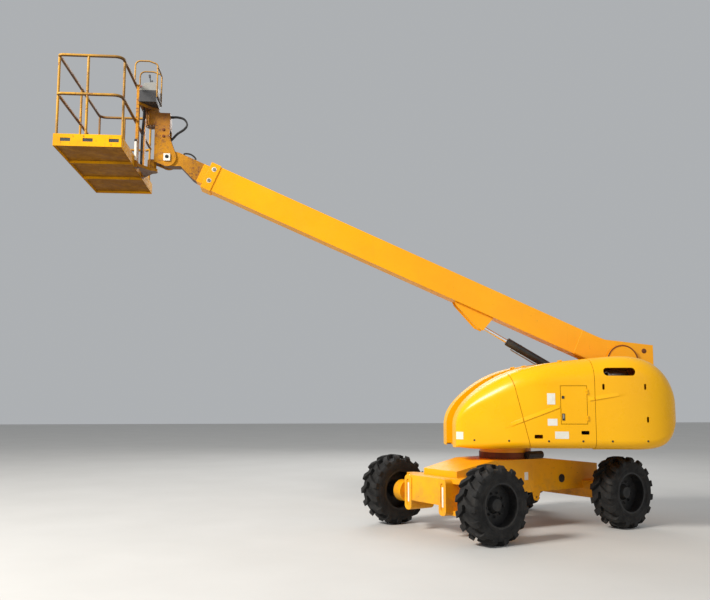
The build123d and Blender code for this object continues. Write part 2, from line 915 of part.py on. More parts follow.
def cut_slots(table):
    """Opens rounded slots through a cowl's side wall."""
    for s, z, length, height in table:
        with BuildSketch(turret_side.offset(-outer_y)) as opening:
            with Locations((s, z)):
                RectangleRounded(length, height, min(length, height) * 0.48 if length > 200 else 9)
        extrude(opening.sketch, amount=outer_y - 640, mode=Mode.SUBTRACT)


nose_region = [
    (seam(half_gap, seam_foot), seam_foot),
    (900, seam_foot),
    (900, seam_head),
    (seam(half_gap, seam_head), seam_head),
]
hood_region = [
    (hood_back, seam_foot),
    (seam(-half_gap, seam_foot), seam_foot),
    (seam(-half_gap, seam_head), seam_head),
    (hood_back, seam_head),
]
ahead_region = [
    (seam(-half_gap, seam_foot), seam_foot),
    (900, seam_foot),
    (900, seam_head),
    (seam(-half_gap, seam_head), seam_head),
]
spare_region = [
    (hood_back - panel_gap, seam_foot),
    (900, seam_foot),
    (900, seam_head),
    (hood_back - panel_gap, seam_head),
]

with BuildPart() as cowl_nose:
    add(cowl_shell.part)
    region(nose_region, 0, outer_y, Mode.INTERSECT)

with BuildPart() as cowl_tail:
    add(cowl_shell.part)
    cut_slots(cowl_slots)
    region(spare_region, hood_hinge_y - half_gap, outer_y, Mode.SUBTRACT)
    region(ahead_region, 0, outer_y, Mode.SUBTRACT)
    for s in hood_hinge_s:
        hinge_z = hood_hinge_z + (hood_hinge_s[0] - s) * hinge_rise
        run = hood_hinge_length / 2
        start = on_turret(s - run, hood_hinge_y, hinge_z + run * hinge_rise)
        end = on_turret(s, hood_hinge_y, hinge_z)
        bar(start, end, hood_hinge_radius)
        block(
            turret_plan,
            (s - run + 3, hood_hinge_y - 18, hinge_z - 20),
            (s - 3, hood_hinge_y - half_gap, hinge_z + 3),
        )

with BuildPart() as hood:
    add(cowl_shell.part)
    cut_slots(hood_slots)
    region(hood_region, hood_hinge_y + half_gap, outer_y, Mode.INTERSECT)
    lip_region = [(-1000, seam_foot), (900, seam_foot), (900, cowl_bottom + 12), (-1000, cowl_bottom + 12)]
    region(lip_region, 0, outer_y, Mode.SUBTRACT)
    for s in hood_hinge_s:
        hinge_z = hood_hinge_z + (hood_hinge_s[0] - s) * hinge_rise
        run = hood_hinge_length / 2
        start = on_turret(s + hinge_gap, hood_hinge_y, hinge_z - hinge_gap * hinge_rise)
        end = on_turret(s + run, hood_hinge_y, hinge_z - run * hinge_rise)
        bar(start, end, hood_hinge_radius)
        block(
            turret_plan,
            (s + hinge_gap + 3, hood_hinge_y + half_gap, hinge_z - 24),
            (s + run - 3, hood_hinge_y + 18, hinge_z - 3),
        )

with BuildPart() as hood_left:
    add(hood.part)
    door_hole = [
        (door_back - panel_gap, door_bottom - panel_gap),
        (door_front + panel_gap, door_bottom - panel_gap),
        (door_front + panel_gap, door_top + panel_gap),
        (door_back - panel_gap, door_top + panel_gap),
    ]
    region(door_hole, 600, outer_y, Mode.SUBTRACT)
    for z in door_hinge_z:
        start = on_turret(door_hinge_s, door_hinge_y, z - hood_hinge_length / 2)
        bar(start, on_turret(door_hinge_s, door_hinge_y, z - hinge_gap), door_hinge_radius)
        block(
            turret_plan,
            (door_hinge_s - 20, door_hinge_y - 15, z - hood_hinge_length / 2 + 3),
            (door_back - panel_gap, door_hinge_y + 3, z - 3),
        )

with BuildPart() as control_door:
    add(hood.part)
    door_shape = [
        (door_back, door_bottom),
        (door_front, door_bottom),
        (door_front, door_top),
        (door_back, door_top),
    ]
    region(door_shape, 600, outer_y, Mode.INTERSECT)
    for z in door_hinge_z:
        end = on_turret(door_hinge_s, door_hinge_y, z + hood_hinge_length / 2)
        bar(on_turret(door_hinge_s, door_hinge_y, z), end, door_hinge_radius)
        block(
            turret_plan,
            (door_back, door_hinge_y - 15, z + 3),
            (door_hinge_s + 20, door_hinge_y + 3, z + hood_hinge_length / 2 - 3),
        )

keep(cowl_nose.part, "cowl_nose_left")
keep(cowl_tail.part, "cowl_tail_left")
keep(hood_left.part, "hood_left")
keep(control_door.part, "control_door")
keep(mirror(cowl_nose.part, about=Plane.XZ), "cowl_nose_right")
keep(mirror(cowl_tail.part, about=Plane.XZ), "cowl_tail_right")
keep(mirror(hood.part, about=Plane.XZ), "hood_right")

# Outer boom: a box tube with a deep root between doubler plates and two lugs for the cylinder
root_half = outer_width / 2 + root_plate
lug_in = lift_eye_half + lift_lug_gap
lug_low = outer_height / 2 + lift_eye_depth + 55
with BuildPart() as boom_outer:
    with BuildSketch(boom_face.offset(-300)):
        Rectangle(outer_width, outer_height)
        Rectangle(outer_width - 2 * outer_wall, outer_height - 2 * outer_wall, mode=Mode.SUBTRACT)
    extrude(amount=outer_length + 300)
    for side in (1, -1):
        inner_face = side * outer_width / 2
        with BuildSketch(boom_side.offset(-max(inner_face, side * root_half))):
            with BuildLine():
                half = outer_height / 2
                Polyline(
                    (root_end, -half + 10),
                    (root_end, half - 10),
                    (330, half + 2),
                    (-324, 382),
                    (-490, 0),
                    (-330, -half),
                    close=True,
                )
            make_face()
        extrude(amount=root_plate)
    with BuildSketch(boom_side.offset(-outer_width / 2)):
        with BuildLine():
            Polyline((330, half), (-324, 382), (-336, 374), (-315, half), close=True)
        make_face()
    extrude(amount=outer_width)
    bar(
        on_boom(0, -root_half, 0),
        on_boom(0, root_half, 0),
        pin_radius + 30,
    )
    bar(
        on_boom(0, -root_half, 0),
        on_boom(0, root_half, 0),
        pin_radius + running_fit,
        mode=Mode.SUBTRACT,
    )
    for side in (1, -1):
        near, far = sorted((side * lug_in, side * (lug_in + lift_lug_plate)))
        with BuildSketch(boom_side.offset(-far)):
            with BuildLine():
                Polyline(
                    (lift_eye_along + 480, -half),
                    (lift_eye_along + 430, -half - 45),
                    (lift_eye_along + 55, -lug_low),
                    (lift_eye_along - 45, -lug_low),
                    (lift_eye_along - 110, -half),
                    close=True,
                )
            make_face()
        extrude(amount=lift_lug_plate)
keep(boom_outer.part, "boom_outer")

# Collar round the boom's mouth, with the slide pads that guide the inner section
pad_top = (outer_height - fly_height) / 2 - outer_wall
pad_side = (outer_width - fly_width) / 2 - outer_wall
with BuildPart() as boom_collar:
    with BuildSketch(boom_face.offset(outer_length - collar_length)):
        Rectangle(outer_width + 2 * collar_plate, outer_height + 2 * collar_plate)
        Rectangle(outer_width, outer_height, mode=Mode.SUBTRACT)
    extrude(amount=collar_length)
keep(boom_collar.part, "boom_collar")

with BuildPart() as slide_pads:
    for side in (1, -1):
        low, high = sorted((side * (fly_height / 2 + seat_gap), side * (outer_height / 2 - outer_wall)))
        with BuildSketch(boom_face.offset(outer_length - pad_length)):
            with Locations((0, (low + high) / 2)):
                Rectangle(fly_width * 0.6, high - low)
        extrude(amount=pad_length)
        low, high = sorted((side * (fly_width / 2 + seat_gap), side * (outer_width / 2 - outer_wall)))
        with BuildSketch(boom_face.offset(outer_length - pad_length)):
            with Locations(((low + high) / 2, 0)):
                Rectangle(high - low, fly_height * 0.6)
        extrude(amount=pad_length)
keep(slide_pads.part, "slide_pads")

# Inner boom: a box tube that slides in the outer one, on pads at its tail
fly_start = outer_length - fly_overlap - stroke
fly_end = outer_length + fly_out
with BuildPart() as boom_fly:
    with BuildSketch(boom_face.offset(fly_start)):
        Rectangle(fly_width, fly_height)
        Rectangle(fly_width - 2 * fly_wall, fly_height - 2 * fly_wall, mode=Mode.SUBTRACT)
    extrude(amount=fly_end - fly_start)
    with BuildSketch(boom_face.offset(fly_start)):
        Rectangle(outer_width - 2 * outer_wall - 2 * seat_gap, outer_height - 2 * outer_wall - 2 * seat_gap)
        Rectangle(fly_width, fly_height, mode=Mode.SUBTRACT)
    extrude(amount=pad_length)
keep(boom_fly.part, "boom_fly")

# Boom head: it narrows from the inner section to the platform's pivot
with BuildPart() as boom_neck:
    with BuildSketch(boom_side.offset(-neck_half)):
        with BuildLine():
            head = neck_radius
            Polyline(
                (neck_pivot, -head),
                (neck_pivot - 90, -head + 25),
                (neck_pivot - 210, -30),
                (fly_end + 60, -fly_height / 2 + 10),
                (fly_end, -fly_height / 2),
                (fly_end, fly_height / 2),
                (neck_pivot - 110, fly_height / 2),
                (neck_pivot, head),
            )
            ThreePointArc((neck_pivot, head), (neck_pivot + head, 0), (neck_pivot, -head))
        make_face()
        with Locations((neck_pivot, 0)):
            Circle(neck_pin_radius + running_fit, mode=Mode.SUBTRACT)
    extrude(amount=2 * neck_half)
keep(boom_neck.part, "boom_neck")

# Yoke: two plates on the head's pin, joined by webs, that stay level and carry the turning unit
level_point = on_boom(neck_pivot, 0, 0)
level_s = level_point.X - slew_x
level_z = level_point.Z
yoke_in = neck_half + yoke_gap
yoke_out = yoke_in + yoke_plate
with BuildPart() as platform_yoke:
    for side in (1, -1):
        near, far = sorted((side * yoke_in, side * yoke_out))
        with BuildSketch(turret_side.offset(-far)):
            with BuildLine():
                Polyline(
                    (level_s - 115, level_z + 40),
                    (yoke_back, yoke_top - 160),
                    (yoke_back, yoke_top),
                    (yoke_front, yoke_top),
                    (yoke_front, level_z - 60),
                    (level_s + 60, level_z - 105),
                )
                ThreePointArc(
                    (level_s + 60, level_z - 105),
                    (level_s - 80, level_z - 92),
                    (level_s - 115, level_z + 40),
                )
            make_face()
        extrude(amount=yoke_plate)
    block(turret_plan, (yoke_web, -yoke_in, level_z - 60), (yoke_front, yoke_in, yoke_top))
    block(turret_plan, (yoke_back, -yoke_in, yoke_top - 40), (yoke_front, yoke_in, yoke_top))
    bar(
        Vector(level_point.X, -yoke_out - 12, level_z),
        Vector(level_point.X, yoke_out + 12, level_z),
        neck_pin_radius,
    )
    block(turret_plan, (yoke_front, -60, lower_arm_bottom + arm_thickness + panel_gap), (turn_s, 60, level_z - 20))
    bar(
        on_turret(turn_s, 0, lower_arm_bottom + arm_thickness + panel_gap),
        on_turret(turn_s, 0, level_z - 20),
        60,
    )
    bar(
        on_turret(turn_s, 0, lower_arm_bottom),
        on_turret(turn_s, 0, level_z - 20),
        turn_pin_radius,
    )
keep(platform_yoke.part, "platform_yoke")

# Turning unit on top of the yoke, and its shaft
with BuildPart() as platform_rotator:
    bar(on_turret(turn_s, 0, turn_bottom), on_turret(turn_s, 0, turn_top), turn_radius)
    block(turret_plan, (yoke_back, -yoke_in, turn_bottom), (turn_s, yoke_in, turn_top - 30))
    bar(on_turret(turn_s, 0, turn_top), on_turret(turn_s, 0, turn_top + arm_thickness), turn_pin_radius)
keep(platform_rotator.part, "platform_rotator")

# Platform support: upper and lower arms from the turning shaft to two posts at the basket's back
arm_low = turn_top + panel_gap
with BuildPart() as platform_support:
    for low in (lower_arm_bottom, arm_low):
        with BuildSketch(turret_plan.offset(low)):
            with Locations((turn_s, 0)):
                Circle(arm_half_width)
            with BuildLine():
                Polyline(
                    (turn_s, -arm_half_width),
                    (basket_back - 36, -platform_post_y - 40),
                    (basket_back - 36, platform_post_y + 40),
                    (turn_s, arm_half_width),
                    close=True,
                )
            make_face()
            with Locations((turn_s, 0)):
                Circle(turn_pin_radius + running_fit, mode=Mode.SUBTRACT)
        extrude(amount=arm_thickness)
    for side in (1, -1):
        middle = side * platform_post_y
        block(turret_plan, (basket_back - 36, middle - 40, floor_bottom), (basket_back, middle + 40, top_rail_z - 40))
keep(platform_support.part, "platform_support")

# Basket floor with its toe boards and the two ribs below
basket_end = basket_front
with BuildPart() as platform_floor:
    block(
        turret_plan,
        (basket_back, -basket_half_length, floor_bottom + 34),
        (basket_end, basket_half_length, floor_bottom + 34 + floor_plate),
    )
    toe = toe_thickness
    for low, high in (
        ((basket_back, -basket_half_length), (basket_end, -basket_half_length + toe)),
        ((basket_back, basket_half_length - toe), (basket_end, basket_half_length)),
        ((basket_back, -basket_half_length), (basket_back + toe, basket_half_length)),
        ((basket_end - toe, -basket_half_length), (basket_end, basket_half_length)),
    ):
        block(turret_plan, (*low, floor_bottom), (*high, toe_top))
    for rib in (-380, 380):
        block(turret_plan, (basket_back + toe, rib - 25, floor_bottom), (basket_end - toe, rib + 25, floor_bottom + 34))
    for s in toe_slots:
        block(
            turret_plan,
            (s - toe_slot_length / 2, -basket_half_length - 10, toe_slot_z - toe_slot_height / 2),
            (s + toe_slot_length / 2, -basket_half_length + 10, toe_slot_z + toe_slot_height / 2),
            mode=Mode.SUBTRACT,
        )
        block(
            turret_plan,
            (s - toe_slot_length / 2, basket_half_length - 10, toe_slot_z - toe_slot_height / 2),
            (s + toe_slot_length / 2, basket_half_length + 10, toe_slot_z + toe_slot_height / 2),
            mode=Mode.SUBTRACT,
        )
keep(platform_floor.part, "platform_floor")

# Guard rails: two closed hoops of tube on posts
rail_in = rail_radius + 4
loop = [
    (basket_back + rail_in, -basket_half_length + rail_in),
    (basket_end - rail_in, -basket_half_length + rail_in),
    (basket_end - rail_in, basket_half_length - rail_in),
    (basket_back + rail_in, basket_half_length - rail_in),
]
posts = [
    # s, t
    (basket_back + rail_in, -basket_half_length + 160),
    (basket_end - rail_in, -basket_half_length + 60),
    (basket_end - rail_in, 0),
    (basket_end - rail_in, basket_half_length - 60),
    (5410, basket_half_length - rail_in),
    (basket_back + rail_in, basket_half_length - 160),
    (5410, -basket_half_length + rail_in),
]
console_low = arm_low + arm_thickness + seat_gap
console_face = basket_back - 36 - seat_gap
rail_heights = (mid_rail_z, top_rail_z - rail_radius)
corner_radii = [rail_corner, rail_corner, 45, rail_corner]
guard_s = console_back - guard_radius - seat_gap


def rail_hoops(radius):
    """Both hoops as round bars of a radius."""
    for height in rail_heights:
        with BuildLine(turret_plan.offset(height)) as hoop:
            FilletPolyline(*loop, radius=corner_radii, close=True)
        tube(hoop.line, radius)


with BuildPart() as platform_rails:
    rail_hoops(rail_radius)
    for t in (console_left + 12, console_right - 12):
        with BuildLine(turret_side.offset(-t)) as hoop:
            FilletPolyline(
                (guard_s, console_low + 60),
                (guard_s, guard_top - 40),
                (guard_s + 110, guard_top),
                (basket_back + rail_in, guard_top),
                (basket_back + rail_in, top_rail_z - 4),
                radius=[45, 45, 70],
            )
        tube(hoop.line, guard_radius)
    for z in (console_low + 90, guard_top - 60):
        bar(on_turret(guard_s, console_right - 12, z), on_turret(guard_s, console_left + 12, z), guard_radius - 1)
keep(platform_rails.part, "platform_rails")

# Posts between the floor and the hoops: each stops at the hoop that it meets
with BuildPart() as hoop_space:
    rail_hoops(rail_radius + running_fit)

with BuildPart() as platform_posts:
    for s, t in posts:
        bar(on_turret(s, t, floor_bottom + 34 + floor_plate), on_turret(s, t, top_rail_z - rail_radius), rail_radius - 3)
    add(hoop_space.part, mode=Mode.SUBTRACT)
keep(platform_posts.part, "platform_posts")

# Control console: a housing with a sloping face on the upper arm, its control lever, and a guard of tube
with BuildPart() as control_console:
    with BuildSketch(turret_side.offset(-console_left)):
        with BuildLine():
            Polyline(
                (console_back, console_low),
                (console_back, console_top - 30),
                (console_back + 30, console_top),
                (console_face - 60, console_top - 20),
                (console_face, console_top - 110),
                (console_face, console_low),
                close=True,
            )
        make_face()
    extrude(amount=console_left - console_right)
    for t in (console_left - 70, console_right + 70):
        bar(on_turret(console_back + 90, t, console_top - 12), on_turret(console_back + 90, t, console_top + 12), 22)
        bar(on_turret(console_back + 90, t, console_top + 10), on_turret(console_back + 104, t, console_top + 95), 7)
        bar(on_turret(console_back + 103, t, console_top + 88), on_turret(console_back + 109, t, console_top + 122), 13)
keep(control_console.part, "control_console")

# Hoses in a loop from the turning unit into the yoke
with BuildPart() as platform_hoses:
    for t in (-hose_half_gap, hose_half_gap):
        with BuildLine(turret_side.offset(-t)) as route:
            FilletPolyline(
                (yoke_back - seat_gap, 5500),
                (4405, 5500),
                (4335, 5392),
                (4480, 5260),
                (4590, 5120),
                (yoke_web - seat_gap, 5120),
                radius=[92, 80, 150, 110],
            )
        tube(route.line, hose_radius)
keep(platform_hoses.part, "platform_hoses")

# Lift cylinder: barrel on the turret's cross pin, rod towards the boom's lugs
lift_axis = Vector(cos(lift_dir), 0, sin(lift_dir))
with BuildPart() as lift_barrel:
    bar(lift_base + lift_axis * 60, lift_base + lift_axis * barrel_end, barrel_radius)
    bar(
        lift_base - Vector(0, base_eye_half, 0),
        lift_base + Vector(0, base_eye_half, 0),
        base_eye_radius,
    )
    bar(
        lift_base - Vector(0, base_eye_half, 0),
        lift_base + Vector(0, base_eye_half, 0),
        base_pin_radius + running_fit,
        mode=Mode.SUBTRACT,
    )
    bar(
        lift_base + lift_axis * 130,
        lift_base + lift_axis * (barrel_end - 40),
        barrel_bore,
        mode=Mode.SUBTRACT,
    )
    bar(
        lift_base + lift_axis * 130,
        lift_base + lift_axis * barrel_end,
        rod_radius + running_fit,
        mode=Mode.SUBTRACT,
    )
keep(lift_barrel.part, "lift_barrel")

with BuildPart() as lift_rod:
    bar(lift_base + lift_axis * piston_place, lift_eye, rod_radius)
    bar(
        lift_base + lift_axis * piston_place,
        lift_base + lift_axis * (piston_place + piston_length),
        barrel_bore - running_fit,
    )
    bar(
        lift_eye - Vector(0, lift_eye_half, 0),
        lift_eye + Vector(0, lift_eye_half, 0),
        lift_eye_radius,
    )
keep(lift_rod.part, "lift_rod")
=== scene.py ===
# Telescopic boom lift: the looks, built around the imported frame. Metres, in the row frame: +X along the
# boom towards the platform, +Y to the machine's left, +Z up.
import json
import math

import bmesh
import bpy
from mathutils import Matrix, Vector
from mathutils.bvhtree import BVHTree


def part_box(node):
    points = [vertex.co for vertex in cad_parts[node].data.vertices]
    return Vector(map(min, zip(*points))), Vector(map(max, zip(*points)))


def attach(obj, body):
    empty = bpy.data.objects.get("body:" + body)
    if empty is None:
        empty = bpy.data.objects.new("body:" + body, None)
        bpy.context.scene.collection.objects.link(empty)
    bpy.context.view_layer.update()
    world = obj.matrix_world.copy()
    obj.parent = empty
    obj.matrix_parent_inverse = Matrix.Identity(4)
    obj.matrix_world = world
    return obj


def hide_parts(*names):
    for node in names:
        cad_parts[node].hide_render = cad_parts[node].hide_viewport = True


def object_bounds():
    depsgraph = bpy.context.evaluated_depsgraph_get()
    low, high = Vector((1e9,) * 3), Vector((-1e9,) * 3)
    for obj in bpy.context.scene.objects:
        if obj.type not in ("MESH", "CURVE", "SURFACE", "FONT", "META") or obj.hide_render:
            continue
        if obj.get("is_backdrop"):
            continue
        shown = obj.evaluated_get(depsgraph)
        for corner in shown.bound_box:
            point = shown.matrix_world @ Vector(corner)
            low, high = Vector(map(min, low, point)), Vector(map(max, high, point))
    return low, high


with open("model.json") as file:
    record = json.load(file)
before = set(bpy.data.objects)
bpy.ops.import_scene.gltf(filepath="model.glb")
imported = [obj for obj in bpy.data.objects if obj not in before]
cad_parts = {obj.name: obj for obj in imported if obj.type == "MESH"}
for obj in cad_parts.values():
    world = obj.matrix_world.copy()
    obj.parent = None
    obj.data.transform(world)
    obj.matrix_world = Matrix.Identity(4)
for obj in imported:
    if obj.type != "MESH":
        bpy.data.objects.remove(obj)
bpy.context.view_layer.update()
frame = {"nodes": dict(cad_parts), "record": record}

SLEW = -1.8125  # x of the axis that the turret turns on
HEADING = math.radians(28.06)  # the chassis, turned to the left of the boom
REST = math.radians(23.65)  # the boom above level
LIFT = math.radians(30.0)  # the lift cylinder above level
SIDES = ((1, "left"), (-1, "right"))
UP = Vector((0, 0, 1))
WORLD = Matrix.Identity(4)


# Camera and light
VIEW_MIDDLE = (355, 300)  # of the 710 by 600 frame
VIEW_FOCAL = 807  # the lens in that frame's pixels
TILT = 0.118  # the camera's look above level, in radians
LOOK_LEVEL = (-0.0872, -0.9962)  # its direction seen from above
CAMERA_PLACE = (SLEW + 2.986, 10.851, 1.72)
CAMERA_LENS, SENSOR_WIDTH = 40.92, 36.0  # mm


def show(obj):
    bpy.context.scene.collection.objects.link(obj)
    return obj


def aim(obj, eye, toward):
    """Set a camera or a lamp at eye, to look along toward."""
    obj.location = eye
    obj.rotation_mode = "QUATERNION"
    obj.rotation_quaternion = Vector(toward).to_track_quat("-Z", "Y")


def lamp(name, eye, target, size, watts, colour=(1, 1, 1)):
    data = bpy.data.lights.new(name, "AREA")
    data.shape = "SQUARE"
    data.size = size
    data.energy = watts
    data.color = colour
    aim(show(bpy.data.objects.new(name, data)), Vector(eye), Vector(target) - Vector(eye))


camera = show(bpy.data.objects.new("camera", bpy.data.cameras.new("camera")))
camera.data.sensor_width = SENSOR_WIDTH
camera.data.lens = CAMERA_LENS
camera.data.clip_end = 200.0
look = Vector((LOOK_LEVEL[0] * math.cos(TILT), LOOK_LEVEL[1] * math.cos(TILT), math.sin(TILT)))
aim(camera, Vector(CAMERA_PLACE), look)
bpy.context.scene.camera = camera
bpy.context.scene.view_settings.view_transform = "Standard"

lamp("key", (11.5, 8.0, 12.0), (-1.0, 0, 1.8), 4.0, 3800, (1.0, 0.97, 0.92))
lamp("fill", (-7.0, 12.0, 5.0), (-1.0, 0, 1.8), 8.0, 130, (0.93, 0.96, 1.0))
lamp("back", (-2.0, -11.0, 9.0), (0, 0, 2.5), 7.0, 500)
world = bpy.data.worlds.new("studio")
bpy.context.scene.world = world
world.use_nodes = True
world.node_tree.nodes["Background"].inputs["Color"].default_value = (0.84, 0.87, 0.90, 1)
world.node_tree.nodes["Background"].inputs["Strength"].default_value = 0.50


# Materials
class Maker:
    """A material's node tree, built one node a call."""

    def __init__(self, name):
        self.mat = bpy.data.materials.new(name)
        self.mat.use_nodes = True
        self.tree = self.mat.node_tree
        self.shader = self.tree.nodes["Principled BSDF"]
        self.place = self.node("ShaderNodeTexCoord").outputs["Object"]

    def node(self, kind, inputs=(), **settings):
        made = self.tree.nodes.new(kind)
        for key, value in settings.items():
            setattr(made, key, value)
        for key, value in dict(inputs).items():
            self.put(made.inputs[key], value)
        return made

    def put(self, socket, value):
        if isinstance(value, bpy.types.NodeSocket):
            self.tree.links.new(value, socket)
        else:
            socket.default_value = value

    def noise(self, scale, detail=4.0, rough=0.55, stretch=None):
        at = self.place
        if stretch:
            at = self.node("ShaderNodeMapping", {"Vector": at, "Scale": stretch}).outputs[0]
        data = {"Vector": at, "Scale": scale, "Detail": detail, "Roughness": rough}
        return self.node("ShaderNodeTexNoise", data).outputs[0]

    def ramp(self, value, low, high, out_low=0.0, out_high=1.0):
        data = {"Value": value, "From Min": low, "From Max": high, "To Min": out_low, "To Max": out_high}
        return self.node("ShaderNodeMapRange", data, interpolation_type="SMOOTHSTEP").outputs[0]

    def math(self, kind, a, b):
        return self.node("ShaderNodeMath", {0: a, 1: b}, operation=kind, use_clamp=True).outputs[0]

    def times(self, a, b):
        return self.math("MULTIPLY", a, b)

    def mix(self, share, a, b):
        made = self.node("ShaderNodeMix", data_type="RGBA")
        self.put(made.inputs[0], share)
        self.put(made.inputs[6], a)
        self.put(made.inputs[7], b)
        return made.outputs[2]

    def up_part(self, vector):
        return self.node("ShaderNodeSeparateXYZ", {"Vector": vector}).outputs["Z"]

    def height(self):
        return self.up_part(self.place)

    def facing(self, low, high, at_low, at_high):
        """A share that goes from at_low to at_high as a surface turns from the ground to the sky."""
        normal = self.node("ShaderNodeTexCoord").outputs["Normal"]
        return self.ramp(self.up_part(normal), low, high, at_low, at_high)

    def bump(self, value, distance, strength=1.0, base=None):
        data = {"Height": value, "Distance": distance, "Strength": strength}
        if base is not None:
            data["Normal"] = base
        return self.node("ShaderNodeBump", data).outputs[0]

    def rounded(self, radius):
        return self.node("ShaderNodeBevel", {"Radius": radius}, samples=4).outputs[0]

    def set(self, **values):
        for key, value in values.items():
            self.put(self.shader.inputs[key.replace("_", " ")], value)
        return self.mat


def rgb(r, g, b):
    return (r, g, b, 1.0)


MUD = rgb(0.20, 0.135, 0.075)
STREAK = rgb(0.23, 0.12, 0.035)
DARK_RUST = rgb(0.10, 0.035, 0.012)
LIGHT_RUST = rgb(0.30, 0.13, 0.05)


def paint(
    name, colour, faded, rough=0.32, dirt=0.0, dirt_top=1.2, chips=0.0, streaks=0.0, peel=0.0006,
    edge=0.004, under=None, tread=False, shine=0.28,
):
    """Enamel that has faded a little, with road dirt that thins upward, rain streaks and chips down to rust.
    under is dark dirt with painted shade on what faces the ground, and tread a chequer on what faces the sky."""
    m = Maker(name)
    tone = m.mix(m.ramp(m.noise(1.3, 5.0, 0.6), 0.35, 0.7), colour, faded)
    gloss = m.ramp(m.noise(3.0, 6.0, 0.65), 0.3, 0.75, rough * 0.8, rough * 1.35)
    relief = m.noise(420.0, 2.0)
    if dirt:
        low = m.ramp(m.height(), 0.15, dirt_top, 1.0, 0.0)
        splash = m.ramp(m.noise(6.0, 8.0, 0.75), 0.38, 0.72)
        share = m.times(m.times(low, splash), dirt)
        tone = m.mix(share, tone, MUD)
        gloss = m.math("ADD", gloss, m.times(share, 0.5))
    if streaks:
        lines = m.ramp(m.noise(1.0, 6.0, 0.7, (26.0, 26.0, 1.6)), 0.55, 0.78)
        tone = m.mix(m.times(lines, streaks), tone, STREAK)
    if chips:
        spots = m.ramp(m.noise(24.0, 9.0, 0.78), 0.64 - chips * 0.1, 0.68 - chips * 0.1)
        share = m.times(spots, m.ramp(m.noise(2.2, 4.0, 0.6), 0.42, 0.6))
        tone = m.mix(share, tone, m.mix(m.noise(38.0, 6.0, 0.7), DARK_RUST, LIGHT_RUST))
        gloss = m.math("ADD", gloss, m.times(share, 0.45))
        relief = m.math("SUBTRACT", relief, m.times(share, 0.8))
    # Dark dirt with painted shade: what faces the ground is darkened towards the under colour, mottled by
    # noise.
    if under:
        grime_and_shade = m.mix(m.ramp(m.noise(9.0, 8.0, 0.75), 0.42, 0.8, 0.0, 0.45), under, faded)
        tone = m.mix(m.facing(-0.75, -0.15, 0.92, 0.0), tone, grime_and_shade)
    normal = m.bump(relief, peel, 0.35, m.rounded(edge))
    if tread:
        across, along = (
            m.node("ShaderNodeTexWave", {"Vector": m.place, "Scale": 14.0}, bands_direction=way).outputs[1]
            for way in ("X", "Y")
        )
        chequer = m.times(m.times(across, along), m.facing(0.5, 0.9, 0.0, 1.0))
        normal = m.bump(chequer, 0.004, 0.6, normal)
    return m.set(
        Base_Color=tone, Roughness=gloss, Normal=normal, Specular_IOR_Level=shine,
        Coat_Weight=0.06, Coat_Roughness=0.15,
    )


def metal(name, colour, dark, rough):
    m = Maker(name)
    grain = m.noise(60.0, 6.0, 0.7)
    tone = m.mix(m.ramp(grain, 0.3, 0.75), colour, dark)
    gloss = m.ramp(m.noise(14.0, 5.0), 0.3, 0.7, rough * 0.75, rough * 1.4)
    normal = m.bump(grain, 0.0004, 0.3, m.rounded(0.002))
    return m.set(Base_Color=tone, Roughness=gloss, Metallic=1.0, Normal=normal)


def dark_coat(name, colour, dust, rough=0.42, grain=180.0, edge=0.003, amount=0.35):
    """An even coat or plastic under a film of dust."""
    m = Maker(name)
    tone = m.mix(m.ramp(m.noise(5.0, 7.0, 0.7), 0.42, 0.75, 0.0, amount), colour, dust)
    gloss = m.ramp(m.noise(9.0, 5.0), 0.3, 0.7, rough * 0.8, min(1.0, rough * 1.4))
    normal = m.bump(m.noise(grain, 3.0), 0.0008, 0.4, m.rounded(edge))
    return m.set(Base_Color=tone, Roughness=gloss, Normal=normal)


def two_tone(name, above, below, level, top):
    """Moulded plastic, one colour between two heights and another outside them."""
    m = Maker(name)
    upper = m.mix(m.ramp(m.noise(8.0, 7.0, 0.7), 0.42, 0.75, 0.0, 0.4), above, rgb(0.20, 0.18, 0.15))
    over_level = m.ramp(m.height(), level - 0.003, level + 0.003)
    under_top = m.ramp(m.height(), top, top + 0.003, 1.0, 0.0)
    tone = m.mix(m.times(over_level, under_top), below, upper)
    gloss = m.ramp(m.noise(9.0, 5.0), 0.3, 0.7, 0.40, 0.68)
    normal = m.bump(m.noise(260.0, 3.0), 0.0008, 0.4, m.rounded(0.003))
    return m.set(Base_Color=tone, Roughness=gloss, Normal=normal)


def rubber(name):
    m = Maker(name)
    dust = m.ramp(m.noise(7.0, 8.0, 0.75), 0.36, 0.75, 0.02, 0.32)
    tone = m.mix(dust, rgb(0.007, 0.007, 0.0075), rgb(0.060, 0.053, 0.044))
    gloss = m.ramp(m.noise(11.0), 0.3, 0.7, 0.62, 0.92)
    relief = m.math("ADD", m.noise(90.0, 5.0, 0.7), m.times(m.noise(14.0, 4.0), 0.6))
    normal = m.bump(relief, 0.002, 0.45)
    return m.set(Base_Color=tone, Roughness=gloss, Normal=normal, Specular_IOR_Level=0.35)


